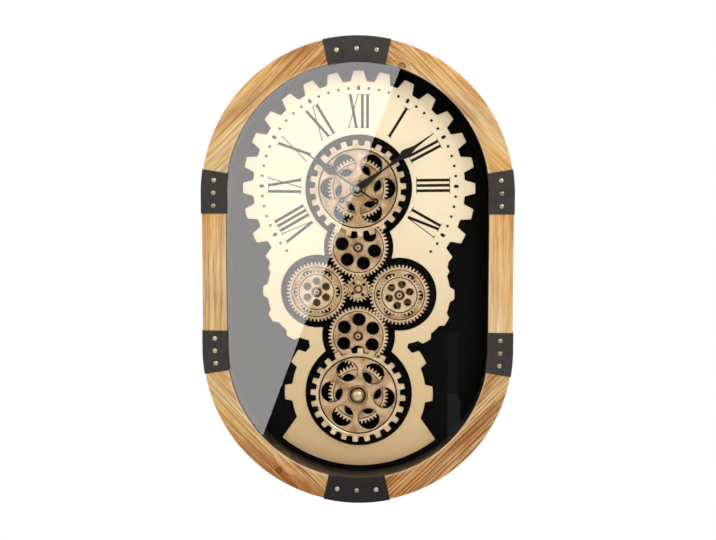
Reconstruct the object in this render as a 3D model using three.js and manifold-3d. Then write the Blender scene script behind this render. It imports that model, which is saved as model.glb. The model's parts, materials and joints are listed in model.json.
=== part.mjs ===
// Gear wall clock: six boards and six bands make a stadium-shaped case with a dial plate, a gear train
// and two hands behind glass. Millimetres, +Z up, and the front faces -Y. The wall plane is y = 0, and
// the origin is where the keyhole hanger sits on its screw.
import * as THREE from "three";
import { mergeVertices } from "three/addons/utils/BufferGeometryUtils.js";
import Module from "manifold-3d";

const wasm = await Module();
wasm.setup();

// Case, seen from the front
const WIDTH = 400;
const HEIGHT = 600;
const RAIL = 32.2;
const REBATE = 2.3;
const LINER_SHEET = 1.7;
const GAP = 0.3;
const BAND_SHEET = 0.6;
const END_BAND_HALF_ANGLE = 12.5;
const SIDE_BAND_ARC_ANGLE = 9.3;
const SIDE_BAND_STRAIGHT = 24.4;
const SIDE_BAND_TACK_OFFSET = 2;
const TACK_RADIUS = 3.3;
const TACK_HEIGHT = 2;
const END_TACK_PITCH = 25.4;
const SIDE_TACK_PITCH = 16.2;

// Case, from the wall to the front
const RECESS = 26;
const PANEL = 4;
const CHAMBER = 37;
const GLASS = 3;
const LIP = 3.2;
const BAND_WALL_GAP = 3;

// Gear train
const HAND_AXIS_RISE = 7;
const DRIVE_AXIS_DROP = 63.1;
const WHEEL_TEETH = 48;
const PINION_TEETH = 20;
const RIGHT_AXIS_DROP_ANGLE = 7.8;
const LEFT_AXIS_DROP_ANGLE = 4.2;
const WHEEL_ADDENDUM = 0.75;
const PINION_ADDENDUM = 1;
const WHEEL_DEDENDUM = 1.75;
const PINION_DEDENDUM = 1.15;
const TOOTH_THINNING = 0.16;
const PRESSURE_ANGLE = 20;
const TOP_HOLE_PHASE = 18;
const UPPER_HOLE_PHASE = 42;
const LOWER_HOLE_PHASE = 2;
const LEFT_HOLE_PHASE = 30;
const RIGHT_HOLE_PHASE = 32;
const BOTTOM_HOLE_PHASE = 25;
const GEAR_PLANE = 36.5;
const GEAR_THICKNESS = 3;
const FRONT_PLANE = 44.5;
const DISC_THICKNESS = 2.5;
const HUB_RADIUS = 6;
const HOLE_COUNT = 6;
const RIM_WIDTH = 5.6;
const HUB_WEB = 7.2;
const STUD_RADIUS = 2.5;
const STUD_HEAD_RADIUS = 3.6;
const STUD_HEAD = 1.6;
const RUNNING_GAP = 0.15;

// Front wheels and front discs: shares of the pitch that a tooth takes at its root and at its tip
const FRONT_WHEEL_TEETH = 24;
const FRONT_WHEEL_TIP = 62.3;
const FRONT_WHEEL_TOOTH = 6.9;
const FRONT_WHEEL_SHARES = [0.56, 0.43];
const FRONT_WHEEL_HOLE = 13.9;
const FRONT_WHEEL_HOLE_RING = 34.5;
const TOP_WHEEL_PHASE = -3;
const TOP_WHEEL_HOLE_PHASE = 30;
const BOTTOM_WHEEL_PHASE = 3.2;
const BOTTOM_WHEEL_HOLE_PHASE = 36;
const DISC_TEETH = 34;
const DISC_TIP = 28.7;
const DISC_TOOTH = 3.3;
const DISC_SHARES = [0.6, 0.36];
const DISC_HOLE = 5;
const DISC_HOLE_RING = 14.1;
const LEFT_DISC_HOLE_PHASE = 0;
const RIGHT_DISC_HOLE_PHASE = 12;
const PINION_RIM = 2.16;
const PINION_WEB = 0.8;
const PINION_HOLE_COUNT = 4;
const PINION_HOLE_PHASE = 52;

// Dial plate: its face, the lobes round the side gears, and the ring round the bottom wheel
const DIAL = 1.5;
const DIAL_MARGIN = 16.7;
const DIAL_TOOTH_COUNT = 28;
const DIAL_TOOTH = 13.4;
const DIAL_SHARES = [0.68, 0.39];
const DIAL_LAST_TOOTH = 10;
const WHEEL_CUTOUT_GAP = 8.4;
const UPPER_CUTOUT_GAP = 5.7;
const TOP_CUTOUT_GAP = 7.2;
const BOTTOM_CUTOUT_GAP = 8;
const PINION_CUTOUT_GAP = 6;
const RING_WIDTH = 18.1;
const RING_TOOTH_COUNT = 12;
const LOBE_TOOTH = 5.5;
const LOBE_SHARES = [0.57, 0.33];
const LOBE_TEETH = [2, 3, 4, 5];
const LOBE_GUSSET = 12;
const LOBE_GUSSET_ANGLE = 51;
const BOTTOM_TOOTH = 9.5;
const BOTTOM_SHARES = [0.5, 0.37];
const BOTTOM_TEETH = [2, 3];
const BASE_MARGIN = 7.8;
const BASE_HALF_ANGLE = 39.3;
const BASE_NECK_ANGLE = 112;

// Hands: distance from the axis and half width, along each blade
const HOUR_HAND_ANGLE = -55.5;
const MINUTE_HAND_ANGLE = 54;
const HAND_SHEET = 1;
const HOUR_HAND_PLANE = 55;
const MINUTE_HAND_PLANE = 59;
const HAND_HUB = 6.5;
const HOUR_BLADE = [[0, 0.9], [32.5, 0.9], [41, 6.8], [60, 1.3], [86, 0.25]];
const MINUTE_BLADE = [[0, 3.6], [13, 4.5], [32, 1.1], [59, 3.1], [64, 1.3], [75, 6.3], [91, 2], [121, 0.25]];
const HOUR_TAIL = 28;
const MINUTE_TAIL = 24.7;
const TAIL_DISC = 4;
const TAIL_STEM = 0.9;
const HAND_NUT_RADIUS = 4.5;
const HAND_NUT = 3.5;

// Clock movement
const MOVEMENT_SIZE = 56;
const MOVEMENT_DEPTH = 16;
const SHELL = 1.8;
const COVER = 2;
const BATTERY_RADIUS = 7;
const BATTERY_LENGTH = 50;
const BATTERY_CLEARANCE = 0.4;
const NECK_RADIUS = 5;
const NECK_FRONT = 49.5;
const HOUR_TUBE_RADIUS = 3;
const ARBOR_RADIUS = 1.6;
const NUT_RADIUS = 8.5;
const NUT = 3;
const MOTION_MODULE = 0.6;
const CANNON_TEETH = 10;
const MINUTE_WHEEL_TEETH = 30;
const MINUTE_PINION_TEETH = 8;
const HOUR_WHEEL_TEETH = 32;
const MOTION_GEAR = 1.6;
const SMALL_ADDENDUM = 0.75;
const SMALL_DEDENDUM = 1.2;
const KNOB_RADIUS = 7;
const KNOB = 4;
const KNOB_GRIP = 0.8;
const KNOB_GRIP_COUNT = 12;
const KNOB_GRIP_SHARES = [0.67, 0.4];

// Gear drive
const DRIVE_WIDTH = 66;
const DRIVE_SHAFT_RADIUS = 3;
const DRIVE_MODULE = 0.8;
const DRIVE_WHEEL_TEETH = 30;
const MOTOR_PINION_TEETH = 10;
const MOTOR_RADIUS = 9;
const MOTOR = 8.5;
const MOTOR_SHAFT_RADIUS = 1.5;
const CAP_NUT_RADIUS = 9.4;
const CAP_NUT = 8;
const CAP_NUT_SKIRT = 2;
const SWITCH_TRAVEL = 4;
const SWITCH_SIZE = 3;

// Hanger
const HANGER_WIDTH = 56;
const HANGER_HEIGHT = 18;
const HANGER_SHEET = 1.5;
const KEYHOLE_RADIUS = 4.5;
const KEYHOLE_SLOT = 2.4;
const KEYHOLE_RISE = 8;
const KEYHOLE_POCKET_DEPTH = 9;
const HANGER_SCREW_SPAN = 42;
const HANGER_SCREW_HEAD = 3.2;
const HANGER_SCREW_RADIUS = 1.6;
const HANGER_SCREW_LENGTH = 14;

// Facets
const ARC_SIDES = 28;
const CUTOUT_SIDES = 48;
const HOLE_SIDES = 12;
const SMALL_SIDES = 10;
const HEXAGON = 6;
const DOME_STEPS = 3;

// Radii of the case, each from its arc centres, and depths measured out from the wall
const bandOuter = WIDTH / 2;
const woodOuter = bandOuter - BAND_SHEET - GAP;
const bandInner = bandOuter - RAIL - BAND_SHEET;
const lipInner = bandInner + BAND_SHEET + GAP;
const rebate = lipInner + REBATE;
const linerOuter = rebate - GAP;
const linerInner = linerOuter - LINER_SHEET;
const railMiddle = (woodOuter + lipInner) / 2;
const straight = HEIGHT / 2 - bandOuter;
const panelFront = RECESS + PANEL;
const glassBack = panelFront + CHAMBER;
const glassFront = glassBack + GLASS;
const lipBack = glassFront + GAP;
const woodFront = lipBack + LIP;
const bandFront = woodFront + GAP + BAND_SHEET;
const dialBack = panelFront + GAP;
const dialFront = dialBack + DIAL;
const gearFront = GEAR_PLANE + GEAR_THICKNESS;
const frontWheelFace = FRONT_PLANE + GEAR_THICKNESS;

// Axes of the train: the module is the one whose gears reach from the hands to the drive
const handAxis = new THREE.Vector2(0, straight + HAND_AXIS_RISE);
const driveAxis = new THREE.Vector2(0, -straight - DRIVE_AXIS_DROP);
const pinionReach = (WHEEL_TEETH + PINION_TEETH) / 2;
const rightDrop = pinionReach * Math.sin(radians(RIGHT_AXIS_DROP_ANGLE));
const rightOut = pinionReach * Math.cos(radians(RIGHT_AXIS_DROP_ANGLE));
const lowerReach = rightDrop + Math.sqrt(WHEEL_TEETH ** 2 - rightOut ** 2);
const trainReach = 2 * WHEEL_TEETH + pinionReach + lowerReach;
const gearModule = (handAxis.y - driveAxis.y) / trainReach;
const upperAxis = handAxis.clone().add(spot(WHEEL_TEETH * gearModule, 180));
const pinionAxis = upperAxis.clone().add(spot(pinionReach * gearModule, 180));
const rightAxis = pinionAxis.clone().add(spot(pinionReach * gearModule, 90 + RIGHT_AXIS_DROP_ANGLE));
const leftAxis = pinionAxis.clone().add(spot(pinionReach * gearModule, 270 - LEFT_AXIS_DROP_ANGLE));
const lowerAxis = pinionAxis.clone().add(spot(lowerReach * gearModule, 180));
const wheelTip = (WHEEL_TEETH / 2 + WHEEL_ADDENDUM) * gearModule;
const hangerSeat = straight + (rebate + woodOuter) / 2 + KEYHOLE_RISE / 2;

// Materials
function material(color, roughness, metalness) {
  return new THREE.MeshStandardMaterial({ color, roughness, metalness });
}
const pine = material(0xdcb283, 0.6, 0);
const blackMetal = material(0x2c2622, 0.5, 0.6);
const blackBoard = material(0x0e0e0d, 0.8, 0);
const clearGlass = material(0xf4f7f6, 0.05, 0);
const gold = material(0xe6c793, 0.45, 0.5);
const bronze = material(0xb98d58, 0.4, 0.7);
const handBlack = material(0x0b0b0b, 0.4, 0.2);
const steel = material(0xb9b9b6, 0.3, 1);
const brass = material(0xd0ab66, 0.3, 1);
const blackPlastic = material(0x1b1b1c, 0.5, 0);
const whitePlastic = material(0xe4e2da, 0.5, 0);
const cellJacket = material(0x3d5a45, 0.4, 0.3);

// Points in the plane of the clock: x to the right, y up, angles in degrees clockwise from the top
function radians(angle) {
  return (angle * Math.PI) / 180;
}

function spot(radius, angle) {
  return new THREE.Vector2(radius * Math.sin(radians(angle)), radius * Math.cos(radians(angle)));
}

function shifted(points, centre) {
  return points.map((point) => point.clone().add(centre));
}

function arc(radius, start, end, sides) {
  const points = [];
  for (let i = 0; i <= sides; i += 1) {
    points.push(spot(radius, start + ((end - start) * i) / sides));
  }
  return points;
}

function circle(radius, sides, centre = new THREE.Vector2()) {
  return shifted(arc(radius, 0, 360, sides).slice(1), centre);
}

function holeRing(count, ring, radius, phase, sides) {
  const holes = [];
  for (let i = 0; i < count; i += 1) {
    holes.push(circle(radius, sides, spot(ring, phase + (360 * i) / count)));
  }
  return holes;
}

function rectangle(left, right, bottom, top) {
  return [
    new THREE.Vector2(left, bottom),
    new THREE.Vector2(right, bottom),
    new THREE.Vector2(right, top),
    new THREE.Vector2(left, top),
  ];
}

function stadium(radius) {
  const upper = shifted(arc(radius, -90, 90, ARC_SIDES), new THREE.Vector2(0, straight));
  const lower = shifted(arc(radius, 90, 270, ARC_SIDES), new THREE.Vector2(0, -straight));
  return [...upper, ...lower];
}

// Solids: a prism or a turned piece lies between two distances out from the wall
function solid(geometry) {
  geometry.deleteAttribute("normal");
  geometry.deleteAttribute("uv");
  const merged = mergeVertices(geometry, 1e-4);
  const vertProperties = merged.getAttribute("position").array;
  const triVerts = new Uint32Array(merged.index.array);
  return new wasm.Manifold(new wasm.Mesh({ numProp: 3, vertProperties, triVerts }));
}

function prism(outline, from, to, holes = []) {
  const turns = THREE.ShapeUtils.isClockWise(outline) ? outline.toReversed() : outline;
  const shape = new THREE.Shape(turns);
  shape.holes = holes.map((points) => new THREE.Path(points));
  const geometry = new THREE.ExtrudeGeometry(shape, { depth: to - from, bevelEnabled: false });
  return solid(geometry.rotateX(Math.PI / 2).translate(0, -from, 0));
}

// A profile lists radius and distance out from the wall, from its front to its back
function turned(profile, sides) {
  const points = profile.map(([radius, out]) => new THREE.Vector2(radius, -out));
  return solid(new THREE.LatheGeometry(points, sides));
}

function rod(radius, from, to, sides = SMALL_SIDES) {
  return turned([[0, to], [radius, to], [radius, from], [0, from]], sides);
}

// A round head: its foot and the start of its dome, then the top of the dome
function domed(radius, foot, from, to, sides) {
  const profile = [];
  for (let i = 0; i <= DOME_STEPS; i += 1) {
    const angle = radians((90 * i) / DOME_STEPS);
    profile.push([radius * Math.sin(angle), from + (to - from) * Math.cos(angle)]);
  }
  return turned([...profile, [radius, foot], [0, foot]], sides);
}

// A hole whose flat sides clear a round shaft of the given radius
function boreOutline(radius, centre = new THREE.Vector2()) {
  return circle((radius + RUNNING_GAP) / Math.cos(Math.PI / SMALL_SIDES), SMALL_SIDES, centre);
}

function bore(radius, from, to) {
  return prism(boreOutline(radius), from, to);
}

function moved(piece, centre) {
  return piece.translate([centre.x, 0, centre.y]);
}

function node(group, name, piece, finish) {
  const mesh = piece.getMesh();
  const geometry = new THREE.BufferGeometry();
  geometry.setAttribute("position", new THREE.BufferAttribute(mesh.vertProperties, 3));
  geometry.setIndex(new THREE.BufferAttribute(mesh.triVerts, 1));
  geometry.computeVertexNormals();
  const part = new THREE.Mesh(geometry, finish);
  part.name = name;
  group.add(part);
}

function groupAt(parent, axis) {
  const group = new THREE.Group();
  group.position.set(axis.x, 0, axis.y);
  parent.add(group);
  return group;
}

// Teeth: block teeth have straight sides, and spur teeth follow an involute at each flank point
function blockOutline({ count, root, tip, shares, phase = 0, has = () => true }) {
  const points = [];
  const step = 360 / count;
  const [rootHalf, tipHalf] = shares.map((share) => (share * step) / 2);
  for (let i = 0; i < count; i += 1) {
    const angle = phase + i * step;
    if (has(i)) {
      points.push(spot(root, angle - rootHalf), spot(tip, angle - tipHalf));
      points.push(spot(tip, angle + tipHalf), spot(root, angle + rootHalf));
    } else {
      points.push(...arc(root, angle - step / 4, angle + step / 2, 3));
    }
  }
  return points;
}

function involute(angle) {
  return Math.tan(angle) - angle;
}

function gearOutline({ teeth, size, addendum, dedendum, phase, flankPoints }) {
  const pressure = radians(PRESSURE_ANGLE);
  const pitch = (teeth * size) / 2;
  const base = pitch * Math.cos(pressure);
  const root = pitch - dedendum * size;
  const tip = pitch + addendum * size;
  const halfPitchTooth = ((1 - TOOTH_THINNING) * Math.PI) / (2 * teeth);
  const flank = [];
  for (let i = 0; i < flankPoints; i += 1) {
    const radius = root + ((tip - root) * i) / (flankPoints - 1);
    const lean = involute(pressure) - involute(Math.acos(Math.min(1, base / radius)));
    flank.push({ radius, half: ((halfPitchTooth + lean) * 180) / Math.PI });
  }
  const points = [];
  for (let i = 0; i < teeth; i += 1) {
    const angle = phase + (360 * i) / teeth;
    points.push(...flank.map(({ radius, half }) => spot(radius, angle - half)));
    points.push(...flank.toReversed().map(({ radius, half }) => spot(radius, angle + half)));
  }
  return points;
}

// The phase of a gear that meshes with another: a gap of one faces a tooth of the other
function meshPhase(phase, teeth, fromAxis, toAxis, otherTeeth) {
  const way = toAxis.clone().sub(fromAxis);
  const direction = (Math.atan2(way.x, way.y) * 180) / Math.PI;
  const share = ((phase - direction) * teeth) / 360;
  return direction + 180 + (360 / otherTeeth) * (0.5 - share);
}

function trainGear(teeth, phase, pinion = false) {
  return {
    teeth,
    size: gearModule,
    addendum: pinion ? PINION_ADDENDUM : WHEEL_ADDENDUM,
    dedendum: pinion ? PINION_DEDENDUM : WHEEL_DEDENDUM,
    phase,
    flankPoints: pinion ? 3 : 2,
  };
}

// A 48-tooth wheel: six round holes in its web, and a hub behind it
function wheel({ phase, holePhase, shaft, hubRadius, hubBack, hubFront }) {
  const root = (WHEEL_TEETH / 2 - WHEEL_DEDENDUM) * gearModule;
  const web = root - RIM_WIDTH + HUB_WEB;
  const holeRadius = (root - RIM_WIDTH - HUB_RADIUS - HUB_WEB) / 2;
  const holes = holeRing(HOLE_COUNT, web / 2 + HUB_RADIUS / 2, holeRadius, holePhase, SMALL_SIDES);
  const disc = prism(gearOutline(trainGear(WHEEL_TEETH, phase)), GEAR_PLANE, gearFront, holes);
  const hub = rod(hubRadius, hubBack, hubFront, HOLE_SIDES);
  return disc.add(hub).subtract(bore(shaft, hubBack - GAP, hubFront + GAP));
}

function frontWheel(phase, holePhase, shaft) {
  const root = FRONT_WHEEL_TIP - FRONT_WHEEL_TOOTH;
  const outline = blockOutline({
    count: FRONT_WHEEL_TEETH,
    root,
    tip: FRONT_WHEEL_TIP,
    shares: FRONT_WHEEL_SHARES,
    phase,
  });
  const holes = holeRing(HOLE_COUNT, FRONT_WHEEL_HOLE_RING, FRONT_WHEEL_HOLE, holePhase, HOLE_SIDES);
  return prism(outline, FRONT_PLANE, frontWheelFace, [...holes, boreOutline(shaft)]);
}

function frontDisc(holePhase) {
  const outline = blockOutline({
    count: DISC_TEETH,
    root: DISC_TIP - DISC_TOOTH,
    tip: DISC_TIP,
    shares: DISC_SHARES,
  });
  const holes = holeRing(HOLE_COUNT, DISC_HOLE_RING, DISC_HOLE, holePhase, SMALL_SIDES);
  const face = gearFront + GAP + DISC_THICKNESS;
  return prism(outline, gearFront + GAP, face, [...holes, boreOutline(STUD_RADIUS)]);
}

function stud(headBack) {
  const headFront = headBack + STUD_HEAD;
  return turned(
    [
      [0, headFront],
      [STUD_HEAD_RADIUS, headFront],
      [STUD_HEAD_RADIUS, headBack],
      [STUD_RADIUS, headBack],
      [STUD_RADIUS, RECESS],
      [0, RECESS],
    ],
    SMALL_SIDES,
  );
}

// Case: boards cut from one stadium ring, bands cut from one channel round it
function boardRing() {
  const ring = prism(stadium(woodOuter), 0, woodFront, [stadium(lipInner)]);
  return ring.subtract(prism(stadium(rebate), -GAP, lipBack));
}

function bandChannel() {
  const side = prism(stadium(bandOuter), BAND_WALL_GAP, bandFront, [stadium(woodOuter + GAP)]);
  const face = prism(stadium(bandOuter), woodFront + GAP, bandFront, [stadium(bandInner)]);
  const lip = prism(stadium(lipInner - GAP), lipBack + GAP, bandFront, [stadium(bandInner)]);
  return side.add(face).add(lip);
}

function tack(place) {
  const foot = bandFront - BAND_SHEET / 2;
  return moved(domed(TACK_RADIUS, foot, bandFront, bandFront + TACK_HEIGHT, SMALL_SIDES), place);
}

// A place on the middle of the rail, at a distance along it from an arc's start towards its top
function railPlace(along, side, end) {
  const angle = (Math.max(along, 0) / railMiddle / Math.PI) * 180;
  const place = spot(railMiddle, 90 - angle);
  return new THREE.Vector2(side * place.x, end * (straight + place.y + Math.min(along, 0)));
}

function endBand(channel, end) {
  const fan = [new THREE.Vector2(), spot(HEIGHT, -END_BAND_HALF_ANGLE), spot(HEIGHT, END_BAND_HALF_ANGLE)];
  const placed = fan.map((point) => new THREE.Vector2(point.x, end * (point.y + straight)));
  let band = channel.intersect(prism(placed, 0, bandFront + GAP));
  for (const step of [-1, 0, 1]) {
    const angle = ((step * END_TACK_PITCH) / railMiddle / Math.PI) * 180;
    const place = spot(railMiddle, angle);
    band = band.add(tack(new THREE.Vector2(place.x, end * (place.y + straight))));
  }
  return band;
}

function sideBand(channel, side, end) {
  const far = spot(HEIGHT, 90 - SIDE_BAND_ARC_ANGLE);
  const fan = [
    new THREE.Vector2(0, straight),
    new THREE.Vector2(0, straight - SIDE_BAND_STRAIGHT),
    new THREE.Vector2(far.x, straight - SIDE_BAND_STRAIGHT),
    new THREE.Vector2(far.x, straight + far.y),
  ];
  const placed = fan.map((point) => new THREE.Vector2(side * point.x, end * point.y));
  let band = channel.intersect(prism(placed, 0, bandFront + GAP));
  for (const step of [-1, 0, 1]) {
    band = band.add(tack(railPlace(SIDE_BAND_TACK_OFFSET + step * SIDE_TACK_PITCH, side, end)));
  }
  return band;
}

function addCase(group) {
  const ring = boardRing();
  const pockets = hangerPockets();
  const edge = GAP / 2;
  for (const [sideName, side] of [["left", -1], ["right", 1]]) {
    const near = side * edge;
    const far = side * WIDTH;
    for (const [endName, end] of [["top", 1], ["bottom", -1]]) {
      const cell = rectangle(near, far, end * (straight + edge), end * HEIGHT);
      const board = ring.intersect(prism(cell, 0, bandFront));
      const cut = end > 0 ? board.subtract(pockets) : board;
      node(group, `board_arc_${endName}_${sideName}`, cut, pine);
    }
    const cell = rectangle(near, far, edge - straight, straight - edge);
    node(group, `board_side_${sideName}`, ring.intersect(prism(cell, 0, bandFront)), pine);
  }
  const channel = bandChannel();
  node(group, "band_top", endBand(channel, 1), blackMetal);
  node(group, "band_bottom", endBand(channel, -1), blackMetal);
  for (const [endName, end] of [["upper", 1], ["lower", -1]]) {
    node(group, `band_${endName}_left`, sideBand(channel, -1, end), blackMetal);
    node(group, `band_${endName}_right`, sideBand(channel, 1, end), blackMetal);
  }
  node(group, "glass_pane", prism(stadium(linerOuter), glassBack, glassFront), clearGlass);
  const liner = prism(stadium(linerOuter), panelFront + GAP, glassBack - GAP, [stadium(linerInner)]);
  node(group, "rim_liner", liner, blackBoard);
  const studHoles = [upperAxis, pinionAxis, leftAxis, rightAxis, lowerAxis].map((axis) => {
    return boreOutline(STUD_RADIUS, axis);
  });
  const neckHole = boreOutline(NECK_RADIUS, handAxis);
  const shaftHole = boreOutline(DRIVE_SHAFT_RADIUS, driveAxis);
  const panel = prism(stadium(linerOuter), RECESS, panelFront, [...studHoles, neckHole, shaftHole]);
  node(group, "back_panel", panel, blackBoard);
}

// Hanger: a keyhole plate let into the back of the two top boards
function hangerMiddle() {
  return new THREE.Vector2(0, hangerSeat - KEYHOLE_RISE / 2);
}

function hangerScrewPlaces() {
  return [-1, 1].map((side) => hangerMiddle().add(new THREE.Vector2((side * HANGER_SCREW_SPAN) / 2, 0)));
}

function centredRectangle(width, height, centre) {
  return shifted(rectangle(-width / 2, width / 2, -height / 2, height / 2), centre);
}

function hangerPockets() {
  const plateBed = HANGER_SHEET + 2 * GAP;
  const bed = centredRectangle(HANGER_WIDTH + 2 * GAP, HANGER_HEIGHT + 2 * GAP, hangerMiddle());
  const roomWidth = 2 * KEYHOLE_RADIUS + GAP;
  const roomHeight = KEYHOLE_RISE + 2 * KEYHOLE_RADIUS;
  const room = centredRectangle(roomWidth, roomHeight, hangerMiddle());
  let pockets = prism(bed, -GAP, plateBed).add(prism(room, -GAP, KEYHOLE_POCKET_DEPTH));
  for (const place of hangerScrewPlaces()) {
    pockets = pockets.add(moved(rod(HANGER_SCREW_RADIUS + GAP, 0, HANGER_SCREW_LENGTH + GAP), place));
  }
  return pockets;
}

function addHanger(group) {
  const low = hangerMiddle().sub(new THREE.Vector2(0, KEYHOLE_RISE / 2));
  const seat = hangerMiddle().add(new THREE.Vector2(0, KEYHOLE_RISE / 2));
  const back = GAP;
  const front = GAP + HANGER_SHEET;
  const holes = hangerScrewPlaces().map((place) => circle(HANGER_SCREW_HEAD + GAP, SMALL_SIDES, place));
  let plate = prism(centredRectangle(HANGER_WIDTH, HANGER_HEIGHT, hangerMiddle()), back, front, holes);
  const slotEnd = arc(KEYHOLE_SLOT, -90, 90, SMALL_SIDES / 2);
  const slot = [...shifted(slotEnd, seat), low.clone().setX(KEYHOLE_SLOT), low.clone().setX(-KEYHOLE_SLOT)];
  plate = plate.subtract(prism(slot, back - GAP, front + GAP));
  plate = plate.subtract(moved(rod(KEYHOLE_RADIUS, back - GAP, front + GAP, HOLE_SIDES), low));
  node(group, "hanger_plate", plate, steel);
  for (const [i, place] of hangerScrewPlaces().entries()) {
    const screw = turned(
      [
        [0, HANGER_SCREW_LENGTH],
        [HANGER_SCREW_RADIUS, HANGER_SCREW_LENGTH],
        [HANGER_SCREW_RADIUS, front],
        [HANGER_SCREW_HEAD, back],
        [0, back],
      ],
      SMALL_SIDES,
    );
    node(groupAt(group, place), `hanger_screw_${i + 1}`, screw, steel);
  }
}

// Dial plate: toothed rings round the cut-outs in which the gears turn
function cutout(tip, gap, axis) {
  return moved(rod(tip + gap, dialBack - GAP, dialFront + GAP, CUTOUT_SIDES), axis);
}

function sideLobe(side, axis) {
  const root = wheelTip + WHEEL_CUTOUT_GAP + RING_WIDTH;
  const outline = blockOutline({
    count: RING_TOOTH_COUNT,
    root,
    tip: root + LOBE_TOOTH,
    shares: LOBE_SHARES,
    has: (i) => LOBE_TEETH.includes(side > 0 ? i : RING_TOOTH_COUNT - i),
  });
  const gusset = rod(LOBE_GUSSET, dialBack, dialFront, HOLE_SIDES);
  const lobe = prism(outline, dialBack, dialFront);
  return moved(lobe.add(moved(gusset, spot(root, side * LOBE_GUSSET_ANGLE))), axis);
}

function dialBase(ringRoot) {
  const baseRadius = lipInner - BASE_MARGIN;
  const sweep = arc(baseRadius, 180 - BASE_HALF_ANGLE, 180 + BASE_HALF_ANGLE, HOLE_SIDES);
  const edge = shifted(sweep, new THREE.Vector2(0, -straight));
  const neck = [spot(ringRoot, -BASE_NECK_ANGLE), spot(ringRoot, 0), spot(ringRoot, BASE_NECK_ANGLE)];
  return prism([...edge, ...shifted(neck, driveAxis)], dialBack, dialFront);
}

function dialPlate() {
  const dialTip = linerInner - DIAL_MARGIN;
  const lobeRoot = wheelTip + WHEEL_CUTOUT_GAP + RING_WIDTH;
  const ringRoot = FRONT_WHEEL_TIP + BOTTOM_CUTOUT_GAP + RING_WIDTH;
  const face = blockOutline({
    count: DIAL_TOOTH_COUNT,
    root: dialTip - DIAL_TOOTH,
    tip: dialTip,
    shares: DIAL_SHARES,
    has: (i) => Math.min(i, DIAL_TOOTH_COUNT - i) <= DIAL_LAST_TOOTH,
  });
  const bottomRing = blockOutline({
    count: RING_TOOTH_COUNT,
    root: ringRoot,
    tip: ringRoot + BOTTOM_TOOTH,
    shares: BOTTOM_SHARES,
    has: (i) => BOTTOM_TEETH.includes(Math.min(i, RING_TOOTH_COUNT - i)),
  });
  const plate = moved(prism(face, dialBack, dialFront), handAxis)
    .add(sideLobe(-1, leftAxis))
    .add(sideLobe(1, rightAxis))
    .add(moved(rod(lobeRoot, dialBack, dialFront, CUTOUT_SIDES), lowerAxis))
    .add(moved(prism(bottomRing, dialBack, dialFront), driveAxis))
    .add(dialBase(ringRoot));
  return plate
    .subtract(cutout(FRONT_WHEEL_TIP, TOP_CUTOUT_GAP, handAxis))
    .subtract(cutout(wheelTip, UPPER_CUTOUT_GAP, upperAxis))
    .subtract(cutout(wheelTip, WHEEL_CUTOUT_GAP, leftAxis))
    .subtract(cutout(wheelTip, WHEEL_CUTOUT_GAP, rightAxis))
    .subtract(cutout(wheelTip, WHEEL_CUTOUT_GAP, lowerAxis))
    .subtract(cutout(FRONT_WHEEL_TIP, BOTTOM_CUTOUT_GAP, driveAxis))
    .subtract(cutout((PINION_TEETH / 2 + PINION_ADDENDUM) * gearModule, PINION_CUTOUT_GAP, pinionAxis));
}

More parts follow.
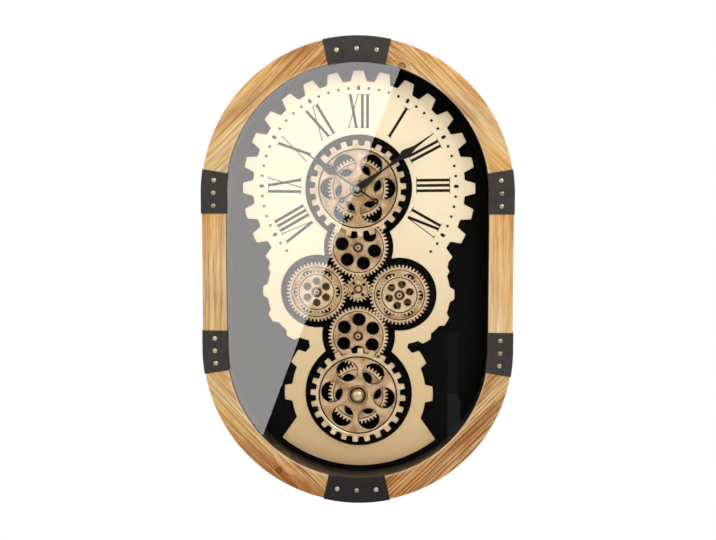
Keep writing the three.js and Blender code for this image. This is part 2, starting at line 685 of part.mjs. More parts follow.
// Gear train: every phase follows from the bottom gear through the meshing teeth
function addTrain(group) {
  const bottomPhase = 0;
  const lowerPhase = meshPhase(bottomPhase, WHEEL_TEETH, driveAxis, lowerAxis, WHEEL_TEETH);
  const rightPhase = meshPhase(lowerPhase, WHEEL_TEETH, lowerAxis, rightAxis, WHEEL_TEETH);
  const pinionPhase = meshPhase(rightPhase, WHEEL_TEETH, rightAxis, pinionAxis, PINION_TEETH);
  const leftPhase = meshPhase(pinionPhase, PINION_TEETH, pinionAxis, leftAxis, WHEEL_TEETH);
  const upperPhase = meshPhase(pinionPhase, PINION_TEETH, pinionAxis, upperAxis, WHEEL_TEETH);
  const topPhase = meshPhase(upperPhase, WHEEL_TEETH, upperAxis, handAxis, WHEEL_TEETH);

  const onStud = {
    shaft: STUD_RADIUS,
    hubRadius: HUB_RADIUS,
    hubBack: panelFront + GAP,
    hubFront: gearFront,
  };
  const discFront = gearFront + GAP + DISC_THICKNESS;
  const wheels = [
    { name: "upper", axis: upperAxis, phase: upperPhase, holePhase: UPPER_HOLE_PHASE },
    { name: "lower", axis: lowerAxis, phase: lowerPhase, holePhase: LOWER_HOLE_PHASE },
    { name: "left", axis: leftAxis, phase: leftPhase, holePhase: LEFT_HOLE_PHASE },
    { name: "right", axis: rightAxis, phase: rightPhase, holePhase: RIGHT_HOLE_PHASE },
  ];
  const discHolePhases = { left: LEFT_DISC_HOLE_PHASE, right: RIGHT_DISC_HOLE_PHASE };
  for (const { name, axis, phase, holePhase } of wheels) {
    const place = groupAt(group, axis);
    const hasDisc = name in discHolePhases;
    node(place, `${name}_gear`, wheel({ phase, holePhase, ...onStud }), bronze);
    if (hasDisc) {
      node(place, `${name}_disc`, frontDisc(discHolePhases[name]), bronze);
    }
    node(place, `${name}_stud`, stud((hasDisc ? discFront : gearFront) + GAP), steel);
  }

  const centre = groupAt(group, pinionAxis);
  const teeth = gearOutline(trainGear(PINION_TEETH, pinionPhase, true));
  const holesOut = (PINION_TEETH / 2 - PINION_DEDENDUM) * gearModule - PINION_RIM;
  const holesIn = HUB_RADIUS + PINION_WEB;
  const holes = [PINION_HOLE_COUNT, (holesOut + holesIn) / 2, (holesOut - holesIn) / 2, PINION_HOLE_PHASE];
  const pinionHoles = holeRing(...holes, SMALL_SIDES);
  const pinion = prism(teeth, GEAR_PLANE, gearFront, pinionHoles)
    .add(rod(HUB_RADIUS, onStud.hubBack, gearFront, HOLE_SIDES))
    .subtract(bore(STUD_RADIUS, RECESS, FRONT_PLANE));
  node(centre, "centre_pinion", pinion, bronze);
  node(centre, "centre_stud", stud(gearFront + GAP), steel);

  const top = groupAt(group, handAxis);
  const topHub = {
    shaft: NECK_RADIUS,
    hubRadius: NUT_RADIUS,
    hubBack: panelFront + NUT + 2 * GAP,
    hubFront: FRONT_PLANE - GAP,
  };
  node(top, "top_gear", wheel({ phase: topPhase, holePhase: TOP_HOLE_PHASE, ...topHub }), bronze);
  node(top, "top_wheel", frontWheel(TOP_WHEEL_PHASE, TOP_WHEEL_HOLE_PHASE, NECK_RADIUS), bronze);
  const retainer = circle(NUT_RADIUS, HOLE_SIDES);
  const retainerHoles = [boreOutline(NECK_RADIUS)];
  const retainerPiece = prism(retainer, frontWheelFace + GAP, NECK_FRONT - GAP, retainerHoles);
  node(top, "top_retainer", retainerPiece, brass);

  const bottom = groupAt(group, driveAxis);
  const bottomHub = {
    shaft: DRIVE_SHAFT_RADIUS,
    hubRadius: NUT_RADIUS,
    hubBack: panelFront + GAP,
    hubFront: FRONT_PLANE - GAP,
  };
  const bottomGear = wheel({ phase: bottomPhase, holePhase: BOTTOM_HOLE_PHASE, ...bottomHub });
  node(bottom, "bottom_gear", bottomGear, bronze);
  const bottomWheel = frontWheel(BOTTOM_WHEEL_PHASE, BOTTOM_WHEEL_HOLE_PHASE, DRIVE_SHAFT_RADIUS);
  node(bottom, "bottom_wheel", bottomWheel, bronze);
  const capBack = frontWheelFace + GAP;
  const cap = domed(CAP_NUT_RADIUS, capBack, capBack + CAP_NUT_SKIRT, capBack + CAP_NUT, HOLE_SIDES);
  const socket = bore(DRIVE_SHAFT_RADIUS, capBack - GAP, capBack + CAP_NUT / 2 + GAP);
  node(bottom, "cap_nut", cap.subtract(socket), bronze);
}

// Hands
function handOutline(blade, tail) {
  const right = blade.map(([along, half]) => new THREE.Vector2(half, along));
  const left = blade.toReversed().map(([along, half]) => new THREE.Vector2(-half, along));
  const stem = [new THREE.Vector2(-TAIL_STEM, 0), new THREE.Vector2(-TAIL_STEM, -tail)];
  const stemBack = stem.toReversed().map((point) => new THREE.Vector2(-point.x, point.y));
  return [...right, ...left, ...stem, ...stemBack];
}

function hand(blade, tail, plane, shaft, angle) {
  const face = plane + HAND_SHEET;
  return prism(handOutline(blade, tail), plane, face)
    .add(rod(HAND_HUB, plane, face, HOLE_SIDES))
    .add(moved(rod(TAIL_DISC, plane, face, HOLE_SIDES), new THREE.Vector2(0, -tail)))
    .subtract(bore(shaft, plane - GAP, face + GAP))
    .rotate([0, angle, 0]);
}

function addHands(group) {
  const place = groupAt(group, handAxis);
  const hour = hand(HOUR_BLADE, HOUR_TAIL, HOUR_HAND_PLANE, HOUR_TUBE_RADIUS, HOUR_HAND_ANGLE);
  const minute = hand(MINUTE_BLADE, MINUTE_TAIL, MINUTE_HAND_PLANE, ARBOR_RADIUS, MINUTE_HAND_ANGLE);
  const nutBack = MINUTE_HAND_PLANE + HAND_SHEET + GAP;
  const nut = circle(HAND_NUT_RADIUS, HOLE_SIDES);
  node(place, "hour_hand", hour, handBlack);
  node(place, "minute_hand", minute, handBlack);
  node(place, "hand_nut", prism(nut, nutBack, nutBack + HAND_NUT, [boreOutline(ARBOR_RADIUS)]), steel);
}

// A small gear between two distances out from the wall, centred on its axis
function smallGear(teeth, size, phase, from, to) {
  const shape = { addendum: SMALL_ADDENDUM, dedendum: SMALL_DEDENDUM, flankPoints: 2 };
  return prism(gearOutline({ teeth, size, phase, ...shape }), from, to);
}

// Cells lie along x in a bay that is open to the back
function bay(bottom, back, front) {
  const half = BATTERY_LENGTH / 2 + BATTERY_CLEARANCE;
  return prism(rectangle(-half, half, bottom, bottom + bayHeight()), back - GAP, front);
}

function bayHeight() {
  return 2 * (BATTERY_RADIUS + BATTERY_CLEARANCE);
}

function cell(bottom, front) {
  const geometry = new THREE.CylinderGeometry(BATTERY_RADIUS, BATTERY_RADIUS, BATTERY_LENGTH, HOLE_SIDES);
  geometry.rotateZ(Math.PI / 2);
  const out = front - BATTERY_CLEARANCE - BATTERY_RADIUS;
  return solid(geometry.translate(0, -out, bottom + BATTERY_CLEARANCE + BATTERY_RADIUS));
}

// Clock movement behind the panel: its neck carries the hands and the top gear
function addMovement(group) {
  const place = groupAt(group, handAxis);
  const half = MOVEMENT_SIZE / 2;
  const front = RECESS - GAP;
  const back = front - MOVEMENT_DEPTH;
  const floor = front - SHELL;
  const cavityBottom = -(HOUR_WHEEL_TEETH / 2 + 1) * MOTION_MODULE - GAP;
  const bayBottom = cavityBottom - SHELL - bayHeight();
  const bottom = bayBottom - SHELL;
  const top = bottom + MOVEMENT_SIZE;
  const cavity = rectangle(SHELL - half, half - SHELL, cavityBottom, top - SHELL);
  const body = prism(rectangle(-half, half, bottom, top), back, front)
    .add(rod(NECK_RADIUS, floor, NECK_FRONT, HOLE_SIDES))
    .subtract(prism(cavity, back - GAP, floor))
    .subtract(bay(bayBottom, back, floor))
    .subtract(bore(HOUR_TUBE_RADIUS, back, NECK_FRONT + GAP));
  node(place, "movement_case", body, blackPlastic);
  node(place, "clock_cell", cell(bayBottom, floor), cellJacket);
  const nutFront = panelFront + GAP + NUT;
  const nut = prism(circle(NUT_RADIUS, HEXAGON), panelFront + GAP, nutFront, [boreOutline(NECK_RADIUS)]);
  node(place, "fixing_nut", nut, brass);

  const reach = ((CANNON_TEETH + MINUTE_WHEEL_TEETH) / 2) * MOTION_MODULE;
  const minuteWheelAxis = new THREE.Vector2(0, reach);
  const hourFront = floor - GAP;
  const hourBack = hourFront - MOTION_GEAR;
  const minuteFront = hourBack - GAP;
  const minuteBack = minuteFront - MOTION_GEAR;
  const tubeFront = HOUR_HAND_PLANE + HAND_SHEET + GAP;
  const hourWheel = smallGear(HOUR_WHEEL_TEETH, MOTION_MODULE, 0, hourBack, hourFront)
    .add(rod(HOUR_TUBE_RADIUS, hourBack, tubeFront))
    .subtract(bore(ARBOR_RADIUS, hourBack - GAP, tubeFront + GAP));
  node(place, "hour_tube", hourWheel, brass);
  const arborFront = MINUTE_HAND_PLANE + HAND_SHEET + HAND_NUT;
  const coverFront = back - GAP;
  const arbor = smallGear(CANNON_TEETH, MOTION_MODULE, 0, minuteBack, minuteFront)
    .add(rod(ARBOR_RADIUS, coverFront - COVER, arborFront));
  node(place, "minute_arbor", arbor, brass);

  const wheelPhase = meshPhase(0, CANNON_TEETH, new THREE.Vector2(), minuteWheelAxis, MINUTE_WHEEL_TEETH);
  const centreOf = new THREE.Vector2();
  const pinionPhase = meshPhase(0, HOUR_WHEEL_TEETH, centreOf, minuteWheelAxis, MINUTE_PINION_TEETH);
  const setting = groupAt(place, minuteWheelAxis);
  const knobFront = coverFront - COVER - GAP;
  const minuteWheel = smallGear(MINUTE_WHEEL_TEETH, MOTION_MODULE, wheelPhase, minuteBack, minuteFront)
    .add(smallGear(MINUTE_PINION_TEETH, MOTION_MODULE, pinionPhase, minuteFront, hourFront))
    .add(rod(ARBOR_RADIUS, knobFront - KNOB / 2, minuteBack));
  node(setting, "minute_wheel", minuteWheel, whitePlastic);
  const grip = blockOutline({
    count: KNOB_GRIP_COUNT,
    root: KNOB_RADIUS - KNOB_GRIP,
    tip: KNOB_RADIUS,
    shares: KNOB_GRIP_SHARES,
  });
  const socket = bore(ARBOR_RADIUS, knobFront - KNOB / 2 - GAP, knobFront + GAP);
  node(setting, "set_knob", prism(grip, knobFront - KNOB, knobFront).subtract(socket), blackPlastic);

  const coverHoles = [boreOutline(ARBOR_RADIUS), boreOutline(ARBOR_RADIUS, minuteWheelAxis)];
  const lid = rectangle(-half, half, cavityBottom - SHELL, top);
  node(place, "movement_cover", prism(lid, coverFront - COVER, coverFront, coverHoles), blackPlastic);
}

// Gear drive behind the panel: a geared motor turns the shaft of the bottom wheel
function addDrive(group) {
  const place = groupAt(group, driveAxis);
  const reach = ((DRIVE_WHEEL_TEETH + MOTOR_PINION_TEETH) / 2) * DRIVE_MODULE;
  const motorAxis = new THREE.Vector2(reach, 0);
  const front = RECESS - GAP;
  const back = front - MOVEMENT_DEPTH;
  const floor = front - SHELL;
  const wheelTipHere = (DRIVE_WHEEL_TEETH / 2 + 1) * DRIVE_MODULE;
  const left = -DRIVE_WIDTH / 2;
  const right = Math.max(DRIVE_WIDTH / 2, reach + MOTOR_RADIUS + SHELL + 2 * GAP);
  const cavityTop = wheelTipHere + 2 * GAP;
  const cavityBottom = -cavityTop;
  const upperBay = cavityBottom - SHELL - bayHeight();
  const lowerBay = upperBay - SHELL - bayHeight();
  const cavity = rectangle(left + SHELL, right - SHELL, cavityBottom, cavityTop);
  const body = prism(rectangle(left, right, lowerBay - SHELL, cavityTop + SHELL), back, front)
    .subtract(prism(cavity, back - GAP, floor))
    .subtract(bay(upperBay, back, floor))
    .subtract(bay(lowerBay, back, floor))
    .subtract(bore(DRIVE_SHAFT_RADIUS, back, front + GAP));
  node(place, "drive_case", body, blackPlastic);
  node(place, "drive_cell_1", cell(upperBay, floor), cellJacket);
  node(place, "drive_cell_2", cell(lowerBay, floor), cellJacket);

  const gearTop = floor - GAP;
  const gearBottom = gearTop - GEAR_THICKNESS;
  const drivePhase = 0;
  const pinionPhase = meshPhase(
    drivePhase,
    DRIVE_WHEEL_TEETH,
    new THREE.Vector2(),
    motorAxis,
    MOTOR_PINION_TEETH,
  );
  const driveWheel = smallGear(DRIVE_WHEEL_TEETH, DRIVE_MODULE, drivePhase, gearBottom, gearTop);
  node(place, "drive_wheel", driveWheel.subtract(bore(DRIVE_SHAFT_RADIUS, back, front)), whitePlastic);
  const capBack = frontWheelFace + GAP;
  const coverFront = back - GAP;
  const shaft = rod(DRIVE_SHAFT_RADIUS, coverFront - COVER, capBack + CAP_NUT / 2);
  node(place, "drive_shaft", shaft, steel);

  const motorPlace = groupAt(place, motorAxis);
  const motorFront = gearBottom - GAP;
  const pinion = smallGear(MOTOR_PINION_TEETH, DRIVE_MODULE, pinionPhase, gearBottom, gearTop);
  const motorShaftBack = motorFront - MOTOR / 4;
  const motorShaft = rod(MOTOR_SHAFT_RADIUS, motorShaftBack, gearTop);
  node(motorPlace, "motor_pinion", pinion.add(motorShaft), brass);
  const can = rod(MOTOR_RADIUS, motorFront - MOTOR, motorFront, HOLE_SIDES)
    .subtract(bore(MOTOR_SHAFT_RADIUS, motorShaftBack - GAP, motorFront + GAP));
  node(motorPlace, "drive_motor", can, steel);

  const switchPlace = new THREE.Vector2((left + wheelTipHere) / 2 - reach, 0);
  const slotHalf = SWITCH_SIZE / 2 + GAP;
  const slot = shifted(rectangle(-slotHalf, slotHalf + SWITCH_TRAVEL, -slotHalf, slotHalf), switchPlace);
  const coverHoles = [boreOutline(DRIVE_SHAFT_RADIUS), slot];
  const lid = rectangle(left, right, cavityBottom - SHELL, cavityTop + SHELL);
  node(place, "drive_cover", prism(lid, coverFront - COVER, coverFront, coverHoles), blackPlastic);
  const stem = centredRectangle(SWITCH_SIZE, SWITCH_SIZE, switchPlace);
  const flange = centredRectangle(2 * SWITCH_SIZE, 2 * SWITCH_SIZE, switchPlace);
  const slider = prism(stem, coverFront - COVER - GAP - SWITCH_SIZE / 2, coverFront + GAP)
    .add(prism(flange, coverFront + GAP, coverFront + GAP + SWITCH_SIZE / 2))
    .add(prism(flange, coverFront - COVER - GAP - SWITCH_SIZE / 2, coverFront - COVER - GAP));
  node(place, "switch_slider", slider, whitePlastic);
}

const clock = new THREE.Group();
const body = groupAt(clock, new THREE.Vector2(0, -hangerSeat));
addCase(body);
addHanger(body);
node(body, "dial_plate", dialPlate(), gold);
addTrain(body);
addHands(body);
addMovement(body);
addDrive(body);

export default clock;
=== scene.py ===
import bisect
import json
import math

import bmesh
import bpy
from mathutils import Matrix, Vector
from mathutils.geometry import delaunay_2d_cdt


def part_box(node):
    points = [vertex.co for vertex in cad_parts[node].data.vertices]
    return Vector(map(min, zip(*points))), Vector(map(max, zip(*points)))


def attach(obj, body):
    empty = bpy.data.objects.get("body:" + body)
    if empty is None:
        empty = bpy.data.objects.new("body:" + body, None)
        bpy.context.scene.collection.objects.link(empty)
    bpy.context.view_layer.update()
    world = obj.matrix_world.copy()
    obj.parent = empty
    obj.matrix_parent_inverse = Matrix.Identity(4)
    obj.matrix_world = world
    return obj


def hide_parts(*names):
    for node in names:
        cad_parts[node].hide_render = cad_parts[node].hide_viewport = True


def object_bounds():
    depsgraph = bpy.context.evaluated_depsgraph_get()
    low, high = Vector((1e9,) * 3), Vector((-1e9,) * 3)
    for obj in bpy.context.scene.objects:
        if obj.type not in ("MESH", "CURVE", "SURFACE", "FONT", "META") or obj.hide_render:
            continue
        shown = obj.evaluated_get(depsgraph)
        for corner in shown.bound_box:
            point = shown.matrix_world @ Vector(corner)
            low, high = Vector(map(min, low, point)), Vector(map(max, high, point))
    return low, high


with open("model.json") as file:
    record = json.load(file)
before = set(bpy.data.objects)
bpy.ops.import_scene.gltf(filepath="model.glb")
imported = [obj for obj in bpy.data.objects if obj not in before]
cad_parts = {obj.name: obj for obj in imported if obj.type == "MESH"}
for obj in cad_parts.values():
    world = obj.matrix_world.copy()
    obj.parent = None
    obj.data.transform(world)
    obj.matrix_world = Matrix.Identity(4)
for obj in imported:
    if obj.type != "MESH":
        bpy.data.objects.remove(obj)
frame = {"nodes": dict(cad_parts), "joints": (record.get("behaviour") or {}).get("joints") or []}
cad_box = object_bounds()

# Lengths below are in millimetres: x to the right, z up, and out is the distance from the wall
MM = 0.001
EPSILON = 1e-4
SMOOTH_ANGLE = math.radians(32)
SKEW = Matrix.Rotation(0.37, 2)


def axis_of(joint):
    """Where a joint's axis crosses the front, as (x, z)."""
    pivot = next(j["pos_m"] for j in frame["joints"] if j["name"] == joint)
    return pivot[0] / MM, pivot[2] / MM


def box_of(node):
    """A node's lowest and highest x, out and z."""
    low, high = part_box(node)
    return [(low.x / MM, high.x / MM), (-high.y / MM, -low.y / MM), (low.z / MM, high.z / MM)]


def depth_of(node):
    """How far a node's back and its front are from the wall."""
    return box_of(node)[1]


def front_of(node):
    return depth_of(node)[1]


# Case: a stadium, two half rings about two centres and two straight sides
OUTER = (cad_box[1][0] - cad_box[0][0]) / 2 / MM
MIDDLE = (cad_box[1][2] + cad_box[0][2]) / 2 / MM
STRAIGHT = (cad_box[1][2] - cad_box[0][2]) / 2 / MM - OUTER
STATION_STEP = 1.5
GAP = 0.3
WOOD_IN, WOOD_OUT = box_of("board_side_right")[0]
WOOD_FRONT = front_of("board_side_right")
WOOD_ROUND = 1.4
# How far the painted highlight on the boards' inner lip reaches
LIP_HIGHLIGHT_REACH = 0.8 * WOOD_ROUND
RAIL_MIDDLE = (WOOD_IN + WOOD_OUT) / 2
PANE_RADIUS = box_of("glass_pane")[0][1]
PANE_EDGE = 0.2
REBATE = PANE_RADIUS + GAP
LEDGE = front_of("glass_pane") + GAP
LINER = 1.7
LINER_EDGE = 0.4
BAND = OUTER - WOOD_OUT - GAP
BAND_IN = WOOD_IN - GAP
BAND_BACK = depth_of("band_top")[0]
BAND_FRONT = WOOD_FRONT + GAP + BAND
BAND_ROUND = 0.25
END_BAND_ANGLE = 12.5
SIDE_BAND_ANGLE = 9.3
SIDE_BAND_LENGTH = 24.4

# Wood: its figure, which is strongest at the clock's top and foot, its growth rings,
# and the middle and the radius of each knot
FIGURE_MIDDLE = 1.25
FIGURE_FALL = 0.75
RING_PITCH = 4.6
PITH_DRIFT = 22
KNOT_BULGE = 9
KNOTS = ((57, -27.5, 4.6), (-101, -547, 3.7))

# Tacks on the bands
TACK_RADIUS = 3.3
TACK_HEIGHT = 2
TACK_EDGE = 0.25
TACK_DOME = 84
END_TACK_PITCH = 25.4
SIDE_TACK_PITCH = 16.2
SIDE_TACK_SHIFT = 2

# Hanger: its keyhole, its screw holes, and the pocket in the wood for the wall screw's head
HANGER_X, HANGER_OUT, HANGER_Z = box_of("hanger_plate")
HANGER_ROUND = 3
HANGER_EDGE = 0.2
KEYHOLE_HALF = 4
KEYHOLE_ENTRY = 4.5
KEYHOLE_SLOT = 2.4
HANGER_SCREW_X = 21
HANGER_SCREW_HOLE = 1.9
POCKET_HALF = 4.65
POCKET_DEPTH = 9
POCKET_MARGIN = 0.5
POCKET_START = -1

# Axes of the gear train, and its gears, with how far their teeth stand out and reach in, in modules
HAND = axis_of("top_spin")
UPPER = axis_of("upper_spin")
CENTRE = axis_of("pinion_spin")
LEFT = axis_of("left_spin")
RIGHT = axis_of("right_spin")
LOWER = axis_of("lower_spin")
DRIVE = axis_of("bottom_spin")
WHEEL_TEETH = 48
PINION_TEETH = 20
MODULE = math.dist(LOWER, DRIVE) / WHEEL_TEETH
WHEEL_TOOTH = (0.75, 1.75)
PINION_TOOTH = (1, 1.15)
TOOTH_THINNING = 0.16
PRESSURE_ANGLE = math.radians(20)
GEAR = 3
GEAR_FRONT = front_of("upper_gear")
GEAR_PLATE = (GEAR_FRONT - GEAR, GEAR_FRONT)
EDGE = 0.3
HOLE_EDGE = 0.95
FRONT_WHEEL_ROUND = 0.9
DISC_ROOT = 25.4

# Hubs: the radius of each, of the painted shadow round what sits on it, and of its bore
NECK_BORE = 5.3
SHAFT_BORE = 3.1
STUD_HUB = (6, 5.6, 2.8)
PINION_HUB = (5.4, 5, 2.8)

# Faces of the wheels: the radius where each steps down to its web, the steps as changes in radius and height
# with a tone, the web's tone, and its holes as a count, the radius of their ring and their own
# Tones: web, a dark painted shade in grooves, holes and recesses, rim, and a pale painted highlight on bevels
WEB, DARK, RIM, BRIGHT = range(4)
GEAR_FACE = (33.4, ((0, 0, RIM), (-0.3, -0.7, DARK), (-1.2, -0.7, DARK)), WEB, (6, 21.6, 8.4))
PINION_FACE = (13, ((0, 0, RIM), (-0.2, -0.5, DARK), (-0.7, -0.5, DARK)), WEB, (4, 9.4, 2.1))
DISC_FACE = (
    23.6,
    ((0, 0, RIM), (-0.2, -0.6, DARK), (-1.1, -0.6, DARK), (-1.4, -0.2, BRIGHT)),
    RIM,
    (6, 14.1, 4.6),
)
FRONT_WHEEL_FACE = (
    52.2,
    ((0, 0, RIM), (-0.6, -0.4, BRIGHT), (-0.8, -1.3, DARK), (-2.4, -1.3, DARK), (-2.6, -0.5, DARK)),
    WEB,
    (6, 34.5, 13.9),
)

# Turned pieces: steps of a radius, the end that a height is measured from, the height and a tone
FOOT, TIP = range(2)
# A tone of 1 is the dark gear tone: painted shade in the tip's recess and on the cap nut's flange
STUD_STEPS = (
    (2.5, FOOT, 0, 0), (2.5, TIP, -1.6, 0), (3.6, TIP, -1.6, 0), (3.6, TIP, -0.6, 0), (2.9, TIP, 0, 0),
    (1.7, TIP, 0, 0), (1.3, TIP, -0.6, 1),
)
CAP_NUT_STEPS = (
    (9.4, FOOT, 0, 1), (9.4, FOOT, 1.2, 1), (9, FOOT, 1.6, 1), (8.7, FOOT, 1.5, 1), (8.5, FOOT, 1.9, 0),
)
CAP_NUT_DOME = 86
HAND_NUT_STEPS = (
    (4.5, FOOT, 0, 0), (4.5, FOOT, 1, 0), (4.1, FOOT, 1.8, 0), (3.4, TIP, -0.6, 0), (2.8, TIP, 0, 0),
    (1.5, TIP, 0, 0), (1.3, TIP, -0.7, 1),
)
RETAINER_RADIUS = 8.5
RETAINER_EDGE = 0.4

# Dial plate: teeth round the face, on two lobes and beside the bottom wheel, numbered clockwise from the top
DIAL_FRONT = front_of("dial_plate")
DIAL_TIP = box_of("dial_plate")[2][1] - HAND[1]
DIAL_LAST_TOOTH = 10
DIAL_ROUND = 1.2
DIAL_EDGE = 0.35
LOBE_ROOT = 66.1
LOBE_TEETH = (2, 3, 4, 5)
LOBE_GUSSET = 12
LOBE_GUSSET_ANGLE = 51
BOTTOM_ROOT = 88.4
BOTTOM_TEETH = (2, 3)
BASE_RADIUS = 160.3
BASE_ANGLE = 39.3
BASE_NECK_ANGLE = 112
CUTOUTS = ((HAND, 69.5), (UPPER, 45.3), (LEFT, 48), (RIGHT, 48), (LOWER, 48), (DRIVE, 70.3), (CENTRE, 23.6))

# Rings of block teeth: their count, the radius of their roots and of their tips, and the widths of a tooth
# at both as shares of the pitch
DIAL_RING = (28, DIAL_TIP - 13.4, DIAL_TIP, (0.68, 0.39))
LOBE_RING = (12, LOBE_ROOT, 71.6, (0.57, 0.33))
BOTTOM_RING = (12, BOTTOM_ROOT, 97.9, (0.5, 0.37))
DISC_RING = (34, DISC_ROOT, 28.7, (0.6, 0.36))
FRONT_WHEEL_RING = (24, 55.4, 62.3, (0.56, 0.43))

# Ink on the dial
INK = 0.06
INK_EDGE = 0.02
INK_DEPTHS = (DIAL_FRONT, DIAL_FRONT + INK)
PRINT = (HAND[0], HAND[1] + 2.6)
NUMERAL_IN = 75.4
NUMERAL_OUT = 118.2
STROKE = 3.7
HAIRLINE = 0.8
MARK_RADIUS = 126.7
MARK_HALF = 1.65
MARK_ROUND = 0.7
HOUR_MARK = (2.2, 3.4)
LAST_MARK = 132
HOURS = {
    "VIII": -120, "IX": -89.3, "X": -60, "XI": -31.4, "XII": 0, "I": 31.8, "II": 62, "III": 89.3, "IV": 119.3,
}

# Glyphs: the width of each, its strokes as inner end, outer end and width, and its serifs as middle, half
# width and radius
GLYPHS = {
    "I": (6.8, ((0, 0, STROKE),), ((0, 4.4, NUMERAL_IN), (0, 4.4, NUMERAL_OUT))),
    "V": (
        15,
        ((0, -5.9, STROKE), (0.8, 6.3, 1.5 * HAIRLINE)),
        ((-5.7, 3.6, NUMERAL_OUT), (6.1, 2.6, NUMERAL_OUT)),
    ),
    "X": (
        16.5,
        ((4, -4, STROKE), (-6, 6, 1.7 * HAIRLINE)),
        ((4, 3.2, NUMERAL_IN), (-6, 2.2, NUMERAL_IN), (-4, 3.2, NUMERAL_OUT), (6, 2.2, NUMERAL_OUT)),
    ),
}

# Hands: their blades as pairs of a distance from the axis and a half width, and their angle, tail and bore
HOUR_HAND = (((0, 0.9), (32.5, 0.9), (41, 6.8), (60, 1.3), (86, 0.45)), -55.5, 28, 3)
MINUTE_HAND = (
    ((0, 3.6), (12, 4.7), (38, 1.2), (51, 1.3), (60, 3.1), (64, 1.5), (75, 6.3), (91, 2), (121, 0.45)),
    54,
    24.7,
    1.6,
)
BLADE_ROUND = 9
HAND_HUB = 6.5
TAIL_HALF = 0.9
TAIL_RING = 4
TAIL_HOLE = 1.2
HAND_EDGE = 0.18

# Screws in the covers, with their heads in shares of the radius, and tabs that hold the panel
COVER_SCREW = 1.7
COVER_SCREW_MARGIN = 3.4
SCREW_SIDE = 0.25
SCREW_HEIGHT = 0.5
SCREW_TOP = 0.8
RECESS_FLOOR = 0.15
RECESS_HALVES = (0.55, 0.14)
TAB_ANGLES = (-75, -45, -15, 15, 45, 75)
TAB_HALF = 4
TAB_LENGTH = 13
TAB_ROUND = 2
TAB = 0.6
TAB_EDGE = 0.1

# Cells: each ring's share of the radius and its place along the cell, from the foot and then from the cap
CELL_FOOT = ((0.62, 0), (0.9, 0.3), (0.97, 0.6), (1, 1.2))
CELL_CAP = ((1, -3.2), (0.97, -2.4), (0.86, -2), (0.84, -1.6), (0.42, -1.5), (0.4, -0.5), (0.34, 0))
JACKET_RINGS = (2, 3, 4)
CELL_BAND = 13

# Edges of the solids that keep their shape, softened where they turn by more than this
SOFT_ANGLE = math.radians(40)

# Camera: its distance from the middle of the front, and its angles above it and to its right
IMAGE_WIDTH = 716
FOCAL_PIXELS = 1292.5
CAMERA_DISTANCE = 1650
CAMERA_ELEVATION = math.radians(5.6)
CAMERA_AZIMUTH = math.radians(3.5)
FRONT_PLANE = 75
SENSOR = 36
SHIFT_PIXELS = (1.4, 3.2)

# Studio, in metres: its light, its lamps as place, size and power, and its floor
AMBIENT = 0.45
LAMPS = (
    ((0.9, -1.5, 0.9), 1.0, 18),
    ((-1.2, -1.3, 0.5), 1.2, 5),
    ((0.2, -1.2, -1.5), 1.2, 2),
    ((0, 1.2, 0.8), 1.2, 9),
)
FLOOR = -1.7
REACH = 8

# Reflection in the glass: a bright and a dark side along a slanting line, and two dim shapes
GLARE = 3.3
GLARE_TOP = (55.7, -27.4)
GLARE_FOOT = (-123.6, -505)
GLARE_COLOUR = (1, 0.985, 0.97, 1)
DIM_SHAPES = (
    (((117, -365), (130, -365), (130, -444), (117, -444)), 0.035),
    (((117, -444), (130, -444), (134, -456), (134, -505), (117, -505)), 0.12),
)
CARD_Y = -2.3
DIM_CARD_Y = -2.28
CARD_SIDE = 1.6 * OUTER
LAST_MIRROR_DEPTH = 3.5


def spot(centre, radius, angle):
    """A point at an angle that runs clockwise from the top, in degrees."""
    turn = math.radians(angle)
    return centre[0] + radius * math.sin(turn), centre[1] + radius * math.cos(turn)


def circle(centre, radius, sides=72):
    return [spot(centre, radius, 360 * i / sides) for i in range(sides)]


def arc(centre, radius, start, end, step=2):
    count = max(1, math.ceil(abs(end - start) / step))
    return [spot(centre, radius, start + (end - start) * i / count) for i in range(count + 1)]


def rectangle(low, high):
    return [low, (high[0], low[1]), high, (low[0], high[1])]


def end_centre(upward):
    """The centre of one of the case's two half rings."""
    return 0, MIDDLE + upward * STRAIGHT


def stadium(radius):
    """The case's outline at a distance from its two centres."""
    return arc(end_centre(1), radius, -90, 90) + arc(end_centre(-1), radius, 90, 270)


def placed(points, angle, centre=PRINT):
    """Points given as (clockwise, outward) at an angle round a centre."""
    turn = math.radians(angle)
    made = []
    for side, radius in points:
        x = centre[0] + radius * math.sin(turn) + side * math.cos(turn)
        z = centre[1] + radius * math.cos(turn) - side * math.sin(turn)
        made.append((x, z))
    return made


def block_teeth(centre, ring, phase=0, teeth=None):
    """A round outline with straight-sided teeth: all of its ring's, or those with some numbers."""
    count, root, tip, shares = ring
    pitch = 360 / count
    foot, head = [share * pitch / 2 for share in shares]
    present = [i % count for i in (range(count) if teeth is None else teeth)]
    loop = []
    for i in range(count):
        middle = phase + i * pitch
        gap_start = middle - foot
        if i in present:
            loop.append(spot(centre, root, middle - foot))
            loop += arc(centre, tip, middle - head, middle + head)
            gap_start = middle + foot
        loop += arc(centre, root, gap_start, middle + pitch - foot)[:-1]
    return loop


def involute(angle):
    return math.tan(angle) - angle


def spur_teeth(centre, teeth, phase, addendum, dedendum, flank_points=6):
    """A spur gear's outline with involute flanks."""
    base = teeth / 2 * MODULE * math.cos(PRESSURE_ANGLE)
    root = (teeth / 2 - dedendum) * MODULE
    tip = (teeth / 2 + addendum) * MODULE
    flank = []
    for i in range(flank_points):
        radius = root + (tip - root) * i / (flank_points - 1)
        lean = involute(PRESSURE_ANGLE) - involute(math.acos(min(1, base / radius)))
        flank.append((radius, math.degrees((1 - TOOTH_THINNING) * math.pi / (2 * teeth) + lean)))
    loop = []
    for i in range(teeth):
        middle = phase + i * 360 / teeth
        loop += [spot(centre, radius, middle - half) for radius, half in flank]
        loop += [spot(centre, radius, middle + half) for radius, half in reversed(flank)]
    return loop


